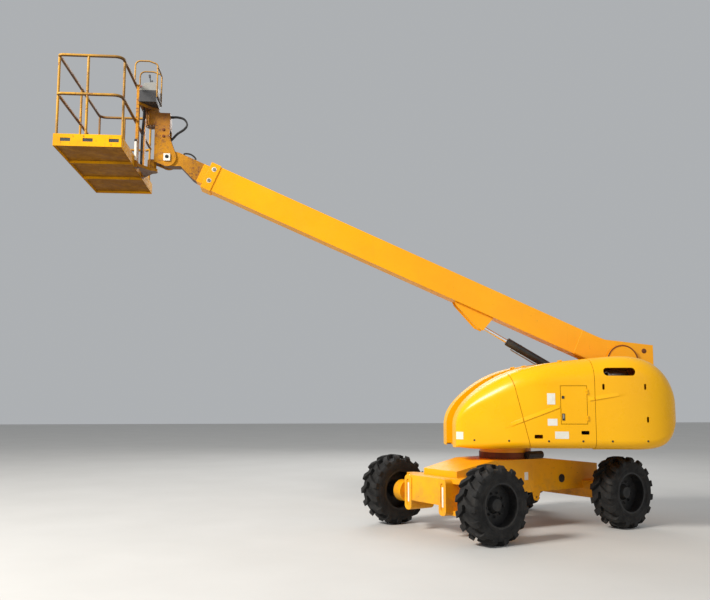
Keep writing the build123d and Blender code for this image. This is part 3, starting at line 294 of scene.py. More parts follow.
MATERIALS = {
    "cowl": paint(
        "cowl_enamel", rgb(0.95, 0.475, 0.001), rgb(0.92, 0.44, 0.001), 0.30,
        dirt=0.10, dirt_top=1.5, edge=0.005,
    ),
    "boom": paint(
        "boom_enamel", rgb(0.92, 0.40, 0.002), rgb(0.88, 0.365, 0.002), 0.36, chips=0.15, streaks=0.12,
    ),
    "chassis": paint(
        "chassis_enamel", rgb(0.92, 0.42, 0.002), rgb(0.80, 0.33, 0.003), 0.40,
        dirt=0.6, dirt_top=0.9, chips=0.25,
    ),
    "weight": paint(
        "weight_enamel", rgb(0.90, 0.41, 0.002), rgb(0.82, 0.36, 0.003), 0.45,
        dirt=0.2, dirt_top=1.5, chips=0.15, peel=0.002,
    ),
    # The basket, its floor and the head darken what faces the ground towards their under colours: dark dirt
    # with painted shade.
    "basket": paint(
        "basket_enamel", rgb(0.50, 0.25, 0.012), rgb(0.17, 0.09, 0.03), 0.5,
        chips=1.15, streaks=0.75, edge=0.002, under=rgb(0.05, 0.022, 0.008),
    ),
    "floor_rust_and_shade": paint(
        "basket_floor_enamel", rgb(0.86, 0.40, 0.004), rgb(0.52, 0.24, 0.012), 0.6,
        chips=0.7, streaks=0.5, edge=0.002, under=rgb(0.125, 0.044, 0.003), tread=True, shine=0.06,
    ),
    "head": paint(
        "head_enamel", rgb(0.56, 0.235, 0.004), rgb(0.22, 0.080, 0.008), 0.42,
        chips=1.3, streaks=0.7, under=rgb(0.05, 0.02, 0.008),
    ),
    "rust": paint(
        "rust_and_shadow_line_coat", rgb(0.22, 0.06, 0.015), rgb(0.10, 0.035, 0.012), 0.7, chips=0.8, streaks=0.6,
    ),
    "black": dark_coat("black_enamel_and_shade", rgb(0.012, 0.012, 0.013), rgb(0.09, 0.08, 0.065)),
    "rim": dark_coat("rim_enamel", rgb(0.006, 0.006, 0.0065), rgb(0.06, 0.052, 0.042), 0.5),
    "plastic": dark_coat("grey_plastic", rgb(0.045, 0.045, 0.048), rgb(0.10, 0.095, 0.085), 0.5, 260.0),
    "pads": dark_coat("pad_nylon", rgb(0.48, 0.46, 0.40), rgb(0.2, 0.18, 0.15), 0.5, 120.0),
    "hose": dark_coat("hose_rubber", rgb(0.014, 0.014, 0.015), rgb(0.06, 0.055, 0.05), 0.55, 320.0, 0.001),
    "engine": dark_coat("engine_casting", rgb(0.10, 0.10, 0.105), rgb(0.05, 0.045, 0.04), 0.55, 60.0),
    "console": two_tone("console_shell", rgb(0.24, 0.24, 0.225), rgb(0.028, 0.028, 0.030), 5.765, 5.884),
    "red": dark_coat("red_button", rgb(0.45, 0.01, 0.008), rgb(0.2, 0.02, 0.015), 0.3, 200.0, 0.001, 0.2),
    "chrome": metal("rod_chrome", rgb(0.82, 0.83, 0.85), rgb(0.62, 0.63, 0.66), 0.14),
    "steel": metal("bare_steel", rgb(0.42, 0.40, 0.38), rgb(0.22, 0.19, 0.17), 0.42),
    "pipe": metal("exhaust_steel", rgb(0.55, 0.52, 0.48), rgb(0.26, 0.21, 0.16), 0.38),
    "zinc": metal("zinc_bolts", rgb(0.55, 0.54, 0.50), rgb(0.34, 0.31, 0.27), 0.34),
    "tyre": rubber("tyre_rubber"),
    "label": dark_coat("blank_label_and_highlight", rgb(0.80, 0.78, 0.70), rgb(0.55, 0.45, 0.25), 0.45, 90.0, 0.0005, 0.3),
}

CORNERS = ("front_left", "front_right", "rear_left", "rear_right")
WORN_BY = {
    "chassis": ["chassis_frame", "front_axle", "rear_axle", "knuckle_left", "knuckle_right"],
    # The slew ring takes the dark red-brown coat, much darker than the chassis paint.
    "rust": ["slew_ring"],
    "black": ["slew_motor", "steering_cylinder", "lift_barrel"],
    "chrome": ["steering_rod", "lift_rod"],
    "rim": [f"rim_{corner}" for corner in CORNERS],
    "boom": ["boom_outer", "boom_collar", "boom_fly", "turret_frame"],
    "head": ["boom_neck", "platform_yoke", "platform_support", "platform_rotator"],
    "weight": ["counterweight"],
    "engine": ["engine_block"],
    "plastic": ["oil_tank", "ground_console"],
    "console": ["control_console"],
    "pipe": ["exhaust"],
    "pads": ["slide_pads"],
    "cowl": [
        "cowl_nose_left", "cowl_nose_right", "cowl_tail_left", "cowl_tail_right", "hood_left", "hood_right",
        "control_door",
    ],
    "basket": ["platform_rails", "platform_posts"],
    "floor_rust_and_shade": ["platform_floor"],
    "tyre": [f"tyre_{corner}" for corner in CORNERS],
    "hose": ["platform_hoses"],
}
for material, nodes in WORN_BY.items():
    for node in nodes:
        slots = frame["nodes"][node].data.materials
        slots.clear()
        slots.append(MATERIALS[material])


# Frames and mesh helpers
def basis(origin, x, y, z):
    """The matrix of a frame from its origin and its three axes."""
    m = Matrix((x, y, z)).transposed().to_4x4()
    m.translation = Vector(origin)
    return m


TURRET = basis((SLEW, 0, 0), (1, 0, 0), (0, 1, 0), UP)
FRONT = Vector((math.cos(HEADING), math.sin(HEADING), 0))
LEFT = Vector((-math.sin(HEADING), math.cos(HEADING), 0))
CHASSIS = basis((SLEW, 0, 0), FRONT, LEFT, UP)
PIVOT = Vector((SLEW - 1.62, 0, 2.19))
BOOM_UP = Vector((-math.sin(REST), 0, math.cos(REST)))
BOOM = basis(PIVOT, (math.cos(REST), 0, math.sin(REST)), (0, 1, 0), BOOM_UP)


def join(bm, one, two):
    """Quads between two closed rows of vertices."""
    for k in range(len(one)):
        n = (k + 1) % len(one)
        bm.faces.new((one[k], one[n], two[n], two[k]))


def circle(bm, centre, u, v, radius, sides):
    turns = (2 * math.pi * k / sides for k in range(sides))
    return [bm.verts.new(centre + (u * math.cos(t) + v * math.sin(t)) * radius) for t in turns]


def add_box(bm, m, low, high):
    xs, ys, zs = zip(low, high)
    verts = [bm.verts.new(m @ Vector((x, y, z))) for x in xs for y in ys for z in zs]
    for face in ((0, 1, 3, 2), (4, 6, 7, 5), (0, 4, 5, 1), (2, 3, 7, 6), (0, 2, 6, 4), (1, 5, 7, 3)):
        bm.faces.new([verts[k] for k in face])


def add_rod(bm, m, start, end, radius, sides=20, end_radius=None):
    """A round or many-sided bar, tapered where end_radius is given."""
    a, b = m @ Vector(start), m @ Vector(end)
    axis = (b - a).normalized()
    u = axis.orthogonal().normalized()
    v = axis.cross(u)
    near = circle(bm, a, u, v, radius, sides)
    far = circle(bm, b, u, v, radius if end_radius is None else end_radius, sides)
    bm.faces.new(near[::-1])
    bm.faces.new(far)
    join(bm, near, far)


def add_stud(bm, at, normal, low, high, radius, sides=20, end_radius=None):
    """A bar on a surface, from low to high along its normal."""
    add_rod(bm, WORLD, at + normal * low, at + normal * high, radius, sides, end_radius)


def add_prism(bm, m, outline, near, far):
    """An outline in the frame's x and z, run from y = near to y = far."""
    one, two = ([bm.verts.new(m @ Vector((x, y, z))) for x, z in outline] for y in (near, far))
    bm.faces.new(one)
    bm.faces.new(two[::-1])
    join(bm, two, one)


def add_tube(bm, path, radius, sides=10, closed=False):
    """A round tube along points of the row frame, with steady frames."""
    count = len(path)
    rings = []
    u = None
    for k, p in enumerate(path):
        before = path[k - 1] if k or closed else path[k]
        after = path[(k + 1) % count] if k < count - 1 or closed else path[k]
        along = (after - before).normalized()
        u = along.orthogonal().normalized() if u is None else (u - along * u.dot(along)).normalized()
        rings.append(circle(bm, p, u, along.cross(u), radius, sides))
    for k in range(count if closed else count - 1):
        join(bm, rings[k], rings[(k + 1) % count])
    if not closed:
        bm.faces.new(rings[0][::-1])
        bm.faces.new(rings[-1])


def smooth_path(points, steps=6):
    """A Catmull-Rom line through the points."""
    pts = [Vector(p) for p in points]
    pts = [pts[0] * 2 - pts[1]] + pts + [pts[-1] * 2 - pts[-2]]
    out = []
    for p0, p1, p2, p3 in zip(pts, pts[1:], pts[2:], pts[3:]):
        for j in range(steps):
            t = j / steps
            bend = (2 * p0 - 5 * p1 + 4 * p2 - p3) * t * t + (3 * p1 - p0 - 3 * p2 + p3) * t * t * t
            out.append(0.5 * (2 * p1 + (p2 - p0) * t + bend))
    return out + [pts[-2]]


def add_bolts(bm, places, outward, size, high):
    """Six-sided heads on washers, standing on a face whose normal is outward."""
    n = Vector(outward).normalized()
    for p in places:
        add_stud(bm, p, n, -0.002, high * 0.25, size * 0.72, 16)
        add_stud(bm, p, n, 0, high, size * 0.5, 6)


def piece(name, bm, body, material, bevel=0.0, angle=40.0):
    """Turn the mesh into an object that rides on a CAD body."""
    bmesh.ops.recalc_face_normals(bm, faces=bm.faces)
    mesh = bpy.data.meshes.new(name)
    bm.to_mesh(mesh)
    bm.free()
    mesh.materials.append(MATERIALS[material])
    mesh.shade_smooth()
    mesh.set_sharp_from_angle(angle=math.radians(angle))
    obj = show(bpy.data.objects.new(name, mesh))
    if bevel:
        cut = obj.modifiers.new("bevel", "BEVEL")
        cut.width = bevel
        cut.segments = 2
        cut.limit_method = "ANGLE"
    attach(obj, body)
    return obj


def block(name, m, low, high, body, material, slot, bevel):
    bm = bmesh.new()
    add_box(bm, m, low, high)
    return piece(name, bm, body, material, bevel)


# Wheels
AXLE_REACH, TRACK_HALF, HUB_HEIGHT = 1.145, 0.976, 0.46
# Half of the tyre's section, from the bead to the crown: place across and radius
TYRE_HALF = [
    (0.146, 0.256), (0.160, 0.264), (0.164, 0.285), (0.168, 0.305), (0.170, 0.335),
    (0.168, 0.365), (0.162, 0.388), (0.150, 0.404), (0.120, 0.407), (0.06, 0.409),
]
TYRE_CROWN = 0.409
TYRE_TURNS = 88
SIDEWALL_RINGS = ((0.300, 0.168), (0.345, 0.169))  # radius and place across
SIDEWALL_BEAD = 0.0022
LUGS = 15
LUG_LEAD = 0.10  # radians by which a lug starts before its place
LUG_SWEEP, LUG_SWEEP_END = 0.235, 0.13  # radians that it sweeps round, up to this place across
LUG_HALF, LUG_WIDENS = 0.078, 0.020  # half its width in radians, and what it gains over the shoulder
LUG_FOOT, LUG_TOP = 1.12, 0.86  # shares of that half at its foot and at its top
# A lug from the crown over the shoulder: place along its sweep, place across at its foot and at its top,
# radius at its foot and at its top
LUG_ROWS = [
    (0.004, 0.004, 0.004, 0.398, 0.4595),
    (0.055, 0.055, 0.055, 0.398, 0.4595),
    (0.105, 0.105, 0.105, 0.396, 0.4580),
    (0.142, 0.142, 0.142, 0.392, 0.4500),
    (0.161, 0.149, 0.1695, 0.384, 0.4220),
    (0.1685, 0.1565, 0.1692, 0.350, 0.384),
]
NUTS = 9
NUT_RING = 0.135
# Nut, stud end and washer: start and end outward, radius and number of sides
NUT_STEPS = ((0.028, 0.050, 0.014, 6), (0.050, 0.060, 0.008, 10), (0.028, 0.033, 0.019, 16))


def wheel_point(hub, angle, across, radius):
    return hub @ Vector((radius * math.sin(angle), across, radius * math.cos(angle)))


def add_lug(bm, hub, side, start):
    grid = []
    for j, (sweep, foot, top, root, tip) in enumerate(LUG_ROWS):
        swing = start + LUG_SWEEP * min(1.0, sweep / LUG_SWEEP_END) ** 0.9
        half = LUG_HALF + LUG_WIDENS * j / (len(LUG_ROWS) - 1)
        row = (
            (swing - half * LUG_FOOT, foot, root), (swing - half * LUG_TOP, top, tip),
            (swing + half * LUG_TOP, top, tip), (swing + half * LUG_FOOT, foot, root),
        )
        grid.append([bm.verts.new(wheel_point(hub, angle, side * across, r)) for angle, across, r in row])
    for one, two in zip(grid, grid[1:]):
        join(bm, one, two)
    bm.faces.new(grid[0])
    bm.faces.new(grid[-1][::-1])


def add_tyre(bm, hub):
    section = [(-across, r) for across, r in TYRE_HALF] + [(0.0, TYRE_CROWN)] + TYRE_HALF[::-1]
    angles = [2 * math.pi * k / TYRE_TURNS for k in range(TYRE_TURNS)]
    rings = [[bm.verts.new(wheel_point(hub, angle, across, r)) for across, r in section] for angle in angles]
    for one, two in zip(rings, rings[1:] + rings[:1]):
        join(bm, one, two)
    for side, shift in ((1, 0.5), (-1, 0.0)):
        for k in range(LUGS):
            add_lug(bm, hub, side, 2 * math.pi * (k + shift) / LUGS - LUG_LEAD)
    for side in (1, -1):
        for r, across in SIDEWALL_RINGS:
            ring = [wheel_point(hub, 2 * math.pi * k / 72, side * across, r) for k in range(72)]
            add_tube(bm, ring, SIDEWALL_BEAD, 5, closed=True)


for corner in CORNERS:
    ahead = 1 if "front" in corner else -1
    side = 1 if "left" in corner else -1
    centre = CHASSIS @ Vector((ahead * AXLE_REACH, side * TRACK_HALF, HUB_HEIGHT))
    hub = basis(centre, FRONT, LEFT * side, UP)
    bm = bmesh.new()
    add_tyre(bm, hub)
    tyre = piece(f"tyre_tread_{corner}", bm, f"wheel_{corner}", "tyre", angle=35)
    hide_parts(f"tyre_{corner}")

    bm = bmesh.new()
    for k in range(NUTS):
        a = 2 * math.pi * (k + 0.5) / NUTS
        x, z = NUT_RING * math.sin(a), NUT_RING * math.cos(a)
        for near, far, radius, sides in NUT_STEPS:
            add_rod(bm, hub, (x, near, z), (x, far, z), radius, sides)
    piece(f"wheel_nuts_{corner}", bm, f"wheel_{corner}", "rim", 0.0008)


# Placing on the CAD's skin
def tree_of(node):
    mesh = frame["nodes"][node].data
    places = [v.co.copy() for v in mesh.vertices]
    faces = [list(p.vertices) for p in mesh.polygons]
    return BVHTree.FromPolygons(places, faces)


BODY_OF = {node: body for body, names in frame["record"]["behaviour"]["bodies"].items() for node in names}
TREES = {node: tree_of(node) for node in frame["nodes"]}
SHELL = {
    1: ["cowl_nose_left", "cowl_tail_left", "hood_left", "control_door"],
    -1: ["cowl_nose_right", "cowl_tail_right", "hood_right"],
}


def strike(start, toward, names):
    """The nearest point that a ray meets on the named nodes: its place, normal and node."""
    best = None
    for name in names:
        place, normal, _, far = TREES[name].ray_cast(start, toward)
        if place is not None and (best is None or far < best[3]):
            best = (place, normal if normal.dot(toward) < 0 else -normal, name, far)
    return best[:3] if best else None


def from_side(x, z, side, names):
    """Where a ray from the machine's side meets the named nodes."""
    return strike(Vector((x, 2.0 * side, z)), Vector((0, -side, 0)), names)


def on_shell(s, z, side=1):
    return strike(Vector((SLEW + s, 3.0 * side, z)), Vector((0, -side, 0)), SHELL[side])


def on_view(across, down, names):
    """Where the camera's ray through a place in its frame meets the named nodes."""
    ray = Vector(((across - VIEW_MIDDLE[0]) / VIEW_FOCAL, (VIEW_MIDDLE[1] - down) / VIEW_FOCAL, -1))
    ray.rotate(camera.rotation_quaternion)
    return strike(camera.location.copy(), ray.normalized(), names)


def patch(name, met, wide, high, material="label", thick=0.0016, steps=8):
    """A thin plate that follows the surface under it."""
    centre, out, node = met
    u = UP.cross(out).normalized()
    v = out.cross(u)
    bm = bmesh.new()
    outer, inner = [], []
    for i in range(steps + 1):
        for j in range(steps + 1):
            spot = centre + u * wide * (i / steps - 0.5) + v * high * (j / steps - 0.5)
            found = strike(spot + out * 0.05, -out, [node])
            at, normal = found[:2] if found else TREES[node].find_nearest(spot)[:2]
            normal = normal if normal.dot(out) > 0 else -normal
            outer.append(bm.verts.new(at + normal * thick))
            inner.append(bm.verts.new(at - normal * 0.001))
    row = steps + 1
    for i in range(steps):
        for j in range(steps):
            a = i * row + j
            quad = (a, a + row, a + row + 1, a + 1)
            bm.faces.new([outer[k] for k in quad])
            bm.faces.new([inner[k] for k in quad[::-1]])
    rim = [i * row for i in range(row)] + [steps * row + j for j in range(1, row)]
    rim += [i * row + steps for i in range(steps - 1, -1, -1)] + list(range(steps - 1, 0, -1))
    for a, b in zip(rim, rim[1:] + rim[:1]):
        bm.faces.new((outer[a], inner[a], inner[b], outer[b]))
    return piece(name, bm, BODY_OF[node], material)


# Cowls
CREASE_HALF, CREASE_HIGH, CREASE_STEPS = 0.024, 0.010, 60
STUD_LEVEL = 1.155
STUD_PLACES = (0.92, 0.55, 0.15, -0.32, -0.74, -1.10, -1.55, -1.95)
DOOR_FITTINGS = (
    ("door_lock", 1.70, 0.030, 0.034, "black", 0.006),
    ("door_latch", 1.455, 0.032, 0.085, "black", 0.006),
    ("door_latch_handle", 1.462, 0.016, 0.055, "zinc", 0.011),
)
LABELS = (
    ("label_upper", -0.36, 1.68, 0.10, 0.14),
    ("label_middle", -0.37, 1.39, 0.12, 0.085),
    ("label_lower", -0.48, 1.23, 0.17, 0.09),
)
NOSE_LABEL_PIXEL = (459.5, 435.5)  # in the 710 by 600 frame
# Start and end along the turret and up, and the shares of its length over which each end fades
CREASES = (
    ("crease_front", (0.22, 1.31), (-0.47, 1.585), (0.35, 0.02)),
    ("crease_rear", (-0.825, 1.665), (-1.30, 1.745), (0.02, 0.5)),
)
DOOR_PLACE = -0.505
TAIL_LATCH = (0.42, 1.52)  # place across and level


def crease(name, start, end, side, fade):
    """A pressed ridge along the cowls that fades at its ends, cut at each panel's edge."""
    runs = []
    for k in range(CREASE_STEPS + 1):
        share = k / CREASE_STEPS
        s, z = (start[i] + (end[i] - start[i]) * share for i in (0, 1))
        at, normal, node = on_shell(s, z, side)
        tall = CREASE_HIGH * min(1.0, share / fade[0], (1 - share) / fade[1])
        if not runs or runs[-1][0] != node:
            runs.append((node, []))
        runs[-1][1].append((at, normal, tall))
    for number, (node, points) in enumerate(runs):
        if len(points) < 4 or node == "control_door":
            continue
        bm = bmesh.new()
        rows = []
        for k, (at, normal, tall) in enumerate(points):
            along = (points[min(k + 1, len(points) - 1)][0] - points[max(k - 1, 0)][0]).normalized()
            across = along.cross(normal).normalized()
            if across.z < 0:
                across = -across
            profile = ((1.6, -0.001), (-0.35, max(tall, 0.0004)), (-1.0, -0.001), (0.0, -0.003))
            rows.append([bm.verts.new(at + across * CREASE_HALF * w + normal * up) for w, up in profile])
        for one, two in zip(rows, rows[1:]):
            join(bm, one, two)
        bm.faces.new(rows[0])
        bm.faces.new(rows[-1][::-1])
        piece(f"{name}_{number}", bm, BODY_OF[node], "cowl", angle=25)


for name, s, z, wide, high in LABELS:
    patch(name, on_shell(s, z), wide, high)
patch("label_nose", on_view(*NOSE_LABEL_PIXEL, SHELL[1]), 0.105, 0.095)
for side, word in SIDES:
    for name, start, end, fade in CREASES:
        crease(f"{name}_{word}", start, end, side, fade)
    groups = {}
    for s in STUD_PLACES:
        met = on_shell(s, STUD_LEVEL, side)
        if met:
            groups.setdefault(BODY_OF[met[2]], []).append(met)
    for body, found in groups.items():
        bm = bmesh.new()
        for at, normal, _ in found:
            add_stud(bm, at, normal, -0.002, 0.002, 0.013)
            add_stud(bm, at, normal, 0, 0.006, 0.0075, 6)
        piece(f"cowl_studs_{word}_{body}", bm, body, "black", 0.0008)

for name, z, wide, high, material, thick in DOOR_FITTINGS:
    patch(name, on_shell(DOOR_PLACE, z), wide, high, material, thick, 4)

for side, word in SIDES:
    met = strike(Vector((SLEW - 4.0, TAIL_LATCH[0] * side, TAIL_LATCH[1])), Vector((1, 0, 0)), SHELL[side])
    if met:
        at, out, node = met
        flat = basis(at, out, UP.cross(out).normalized(), UP)
        bm = bmesh.new()
        add_box(bm, flat, (-0.002, -0.03, -0.045), (0.006, 0.03, 0.045))
        add_rod(bm, flat, (0.003, 0, -0.02), (0.010, 0, -0.02), 0.010, 14)
        add_box(bm, flat, (0.006, -0.008, -0.03), (0.011, 0.008, 0.035))
        piece(f"tail_latch_{word}", bm, BODY_OF[node], "black", 0.0015)

# Boom root, ears and collar
ROOT_BOLT = (-1.94, 2.33)  # place along the turret and level
# A painted shadow line round each turret ear: the height above the pivot where a ray finds the ear's face,
# the line's radius about the pivot, and its thickness.
SHADOW_LINE_ABOVE_PIVOT, SHADOW_LINE_RING, SHADOW_LINE_RADIUS = 0.19, 0.212, 0.0085
COLLAR_ALONG, COLLAR_HEIGHTS = 6.13, (0.105, -0.06)

for side, word in SIDES:
    outward = Vector((0, side, 0))
    met = from_side(SLEW + ROOT_BOLT[0], ROOT_BOLT[1], side, ["boom_outer"])
    if met:
        bm = bmesh.new()
        add_bolts(bm, [met[0]], outward, 0.040, 0.009)
        add_stud(bm, met[0], outward, -0.001, 0.003, 0.034, 24)
        piece(f"root_bolts_{word}", bm, "boom", "rust", 0.0015)

    # A dark red-brown tube round the top of each turret ear: a painted shadow line along the ear's edge.
    met = from_side(PIVOT.x, PIVOT.z + SHADOW_LINE_ABOVE_PIVOT, side, ["turret_frame"])
    if met:
        turns = [math.radians(-5 + 190 * k / 40) for k in range(41)]
        arc = [PIVOT + Vector((math.cos(a), 0, math.sin(a))) * SHADOW_LINE_RING for a in turns]
        for point in arc:
            point.y = met[0].y + 0.001 * side
        bm = bmesh.new()
        add_tube(bm, arc, SHADOW_LINE_RADIUS)
        piece(f"ear_shadow_line_{word}", bm, "turret", "rust")

    spots = [BOOM @ Vector((COLLAR_ALONG, 2.0 * side, up)) for up in COLLAR_HEIGHTS]
    spots = [met[0] for met in (strike(spot, -outward, ["boom_collar"]) for spot in spots) if met]
    bm = bmesh.new()
    add_bolts(bm, spots, outward, 0.036, 0.014)
    piece(f"collar_bolts_{word}", bm, "boom", "zinc", 0.001)
    bm = bmesh.new()
    for spot in spots:
        add_stud(bm, spot, outward, -0.001, 0.003, 0.032, 24)
    piece(f"collar_pads_{word}", bm, "boom", "label", 0.0008)

# Platform head
NECK_ALONG = 6.776
NECK = BOOM @ Vector((NECK_ALONG, 0, 0))

for side, word in SIDES:
    met = from_side(NECK.x, NECK.z, side, ["platform_yoke", "boom_neck"])
    if met:
        body = BODY_OF[met[2]]
        flat = basis(met[0], (1, 0, 0), (0, side, 0), UP)
        low, high = (-0.045, -0.001, -0.05), (0.045, 0.006, 0.05)
        block(f"neck_keeper_{word}", flat, low, high, body, "label", "machined_steel", 0.002)
        bm = bmesh.new()
        add_rod(bm, flat, (0, 0.005, 0.006), (0, 0.016, 0.006), 0.019, 6)
        add_rod(bm, flat, (0, 0.005, 0.006), (0, 0.008, 0.006), 0.025, 18)
        piece(f"neck_bolt_{word}", bm, body, "black", 0.001)

# Chassis

# Places across or along the chassis, and levels
FORK_HIGHLIGHT, PLATE, PORT = (0.345, 0.49), (0.02, 0.68), (-0.62, 0.62)
PORT_BOLT_RING = 0.043
RING_BOLTS = 28

for side, word in SIDES:
    # A pale strip down the middle of each axle fork's front face: a painted highlight on the rounded lug. It
    # takes the pale coat of the blank plates.
    met = strike(
        CHASSIS @ Vector((3.0, FORK_HIGHLIGHT[0] * side, FORK_HIGHLIGHT[1])), -FRONT, ["front_axle", "chassis_frame"]
    )
    if met:
        flat = basis(met[0], FRONT, LEFT, UP)
        low, high = (-0.001, -0.014, -0.12), (0.005, 0.014, 0.12)
        block(f"fork_highlight_{word}", flat, low, high, BODY_OF[met[2]], "label", "machined_steel", 0.002)
    outward = LEFT * side
    met = strike(CHASSIS @ Vector((PORT[0], 3.0 * side, PORT[1])), -outward, ["chassis_frame"])
    if met:
        flat = basis(met[0], FRONT, outward, UP)
        bm = bmesh.new()
        add_rod(bm, flat, (0, -0.001, 0), (0, 0.006, 0), 0.055, 32)
        add_rod(bm, flat, (0, 0.005, 0), (0, 0.012, 0), 0.030, 24)
        corners = ((1, 0), (0, 1), (-1, 0), (0, -1))
        spots = [flat @ Vector((PORT_BOLT_RING * x, 0.006, PORT_BOLT_RING * z)) for x, z in corners]
        add_bolts(bm, spots, outward, 0.014, 0.006)
        piece(f"frame_port_{word}", bm, "chassis", "black", 0.001)

met = strike(CHASSIS @ Vector((PLATE[0], 3.0, PLATE[1])), -LEFT, ["chassis_frame"])
if met:
    flat = basis(met[0], FRONT, LEFT, UP)
    low, high = (-0.035, -0.001, -0.05), (0.035, 0.002, 0.05)
    block("chassis_plate", flat, low, high, "chassis", "label", "machined_steel", 0.0008)

ring_low, ring_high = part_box("slew_ring")
radius = 0.80 * ((ring_high[0] - ring_low[0]) / 2 + 0.06)
spots = []
for k in range(RING_BOLTS):
    a = 2 * math.pi * k / RING_BOLTS
    met = strike(Vector((SLEW + radius * math.cos(a), radius * math.sin(a), 0.93)), -UP, ["slew_ring"])
    if met:
        spots.append(met[0])
if spots:
    bm = bmesh.new()
    add_bolts(bm, spots, UP, 0.026, 0.014)
    piece("ring_bolts", bm, "chassis", "zinc", 0.001)

# Lift cylinder's gland and pipe
LIFT_EYE = BOOM @ Vector((1.96, 0, -0.335))
EYE_TO_BASE = 2.15
PIPE_RADIUS, PIPE_CLIPS = 0.0085, (0.62, 1.22)
LIFT_AXIS = Vector((math.cos(LIFT), 0, math.sin(LIFT)))
CYLINDER = basis(LIFT_EYE - LIFT_AXIS * EYE_TO_BASE, LIFT_AXIS, (0, 1, 0), LIFT_AXIS.cross(Vector((0, 1, 0))))
# Gland, wiper and bands: start and end along the barrel, radius and number of sides
BARREL_RINGS = (
    (1.655, 1.715, 0.0575, 8), (1.715, 1.736, 0.040, 28),
    (0.30, 0.328, 0.0572, 32), (0.95, 0.978, 0.0572, 32), (1.52, 1.548, 0.0572, 32),
)
PIPE_PATH = (
    (0.30, -0.055), (0.30, -0.070), (0.36, -0.074), (0.8, -0.074),
    (1.4, -0.074), (1.58, -0.074), (1.63, -0.070), (1.63, -0.055),
)

bm = bmesh.new()
for start, end, radius, sides in BARREL_RINGS:
    add_rod(bm, CYLINDER, (start, 0, 0), (end, 0, 0), radius, sides)
piece("barrel_gland", bm, "cylinder_barrel", "black", 0.0012)
bm = bmesh.new()
add_tube(bm, smooth_path([CYLINDER @ Vector((x, 0, z)) for x, z in PIPE_PATH]), PIPE_RADIUS)
for place in PIPE_CLIPS:
    add_box(bm, CYLINDER, (place, -0.016, -0.085), (place + 0.02, 0.016, -0.050))
piece("barrel_pipe", bm, "cylinder_barrel", "steel", angle=50)

# Hoses at the head
HOSE_HALF_GAP, HOSE_RADIUS = 0.013, 0.0122
HOSE_PATH = (
    (4.5597, 5.500), (4.470, 5.502), (4.385, 5.478), (4.342, 5.405),
    (4.382, 5.335), (4.470, 5.270), (4.540, 5.190), (4.610, 5.132), (4.7045, 5.120),
)

bm = bmesh.new()
for y in (-HOSE_HALF_GAP, HOSE_HALF_GAP):
    add_tube(bm, smooth_path([(SLEW + s, y, z) for s, z in HOSE_PATH]), HOSE_RADIUS, 12)
    add_rod(bm, WORLD, (SLEW + 4.560, y, 5.5), (SLEW + 4.530, y, 5.5), 0.0155, 6)
hoses = piece("head_hoses", bm, "yoke", "hose")
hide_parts("platform_hoses")

# Platform trim
TOE_SLOTS, TOE_SLOT_HALF = (5.070, 5.380, 5.645), 0.068
TOE_NEAR, TOE_FAR, TOE_LOW, TOE_HIGH = 1.1405, 1.1457, 4.760, 4.820
SWITCHES, SWITCH_START, SWITCH_PITCH, SWITCH_LEVEL = 6, -0.005, 0.043, 5.815
STOP_PLACE = SWITCH_START + SWITCH_PITCH * SWITCHES
LOOM_PLACES, LOOM_RADIUS = ((0.065, 0.02), (0.105, 0.035), (0.145, 0.015)), 0.0105  # place across and bend
YOKE_BOLTS, YOKE_BOLT_LEVELS = 4.64, (5.20, 5.29)
ROTATOR_PLACE, ROTATOR_BOLTS, ROTATOR_RING = 4.8, 10, 0.075
# Low and high corners of the boxes, in the turret's frame
DOCUMENT_BOX = ((4.948, 0.2902, 4.80), (4.976, 0.345, 5.06))
DOCUMENT_LID = ((4.944, 0.2895, 5.045), (4.980, 0.350, 5.075))
PEDAL_BASE = ((5.10, 0.20, 4.7503), (5.30, 0.36, 4.762))
PEDAL_OUTLINE = [(5.11, 4.761), (5.27, 4.761), (5.27, 4.775), (5.12, 4.815)]
PEDAL_SIDES = (0.215, 0.345)

# Thin black plates over the toe board's slots: painted shade where the slots open into the basket.
for side, word in SIDES:
    near, far = sorted((TOE_NEAR * side, TOE_FAR * side))
    bm = bmesh.new()
    for s in TOE_SLOTS:
        add_box(bm, TURRET, (s - TOE_SLOT_HALF, near, TOE_LOW), (s + TOE_SLOT_HALF, far, TOE_HIGH))
    piece(f"toe_slot_shade_{word}", bm, "platform", "black", 0.0008)


def on_console(across):
    """Where a ray from the platform's front meets the console's face."""
    return strike(Vector((SLEW + 6.5, across, SWITCH_LEVEL)), Vector((-1, 0, 0)), ["control_console"])


caps, sticks = bmesh.new(), bmesh.new()
for k in range(SWITCHES):
    met = on_console(SWITCH_START + SWITCH_PITCH * k)
    if met:
        at, normal, _ = met
        add_stud(caps, at, normal, -0.001, 0.005, 0.011, 16)
        tip = at + normal * 0.024 + Vector((0, 0, 0.006))
        add_rod(sticks, WORLD, at + normal * 0.003, tip, 0.0028, 8, end_radius=0.0045)
piece("switch_caps", caps, "platform", "black", 0.0006)
piece("switch_sticks", sticks, "platform", "zinc")
met = on_console(STOP_PLACE)
if met:
    at, normal, _ = met
    bm = bmesh.new()
    add_stud(bm, at, normal, -0.001, 0.012, 0.010)
    add_stud(bm, at, normal, 0.011, 0.024, 0.020, 28, end_radius=0.017)
    piece("stop_button", bm, "platform", "red", 0.0015)

bm = bmesh.new()
for y, bend in LOOM_PLACES:
    path = [
        (4.905, y, 5.560), (4.908, y, 5.44), (4.915, y + bend, 5.25),
        (4.920, y + bend, 5.05), (4.925, y, 4.90), (4.925, y, 4.80),
    ]
    add_tube(bm, smooth_path([TURRET @ Vector(point) for point in path]), LOOM_RADIUS)
piece("console_loom", bm, "platform", "hose")

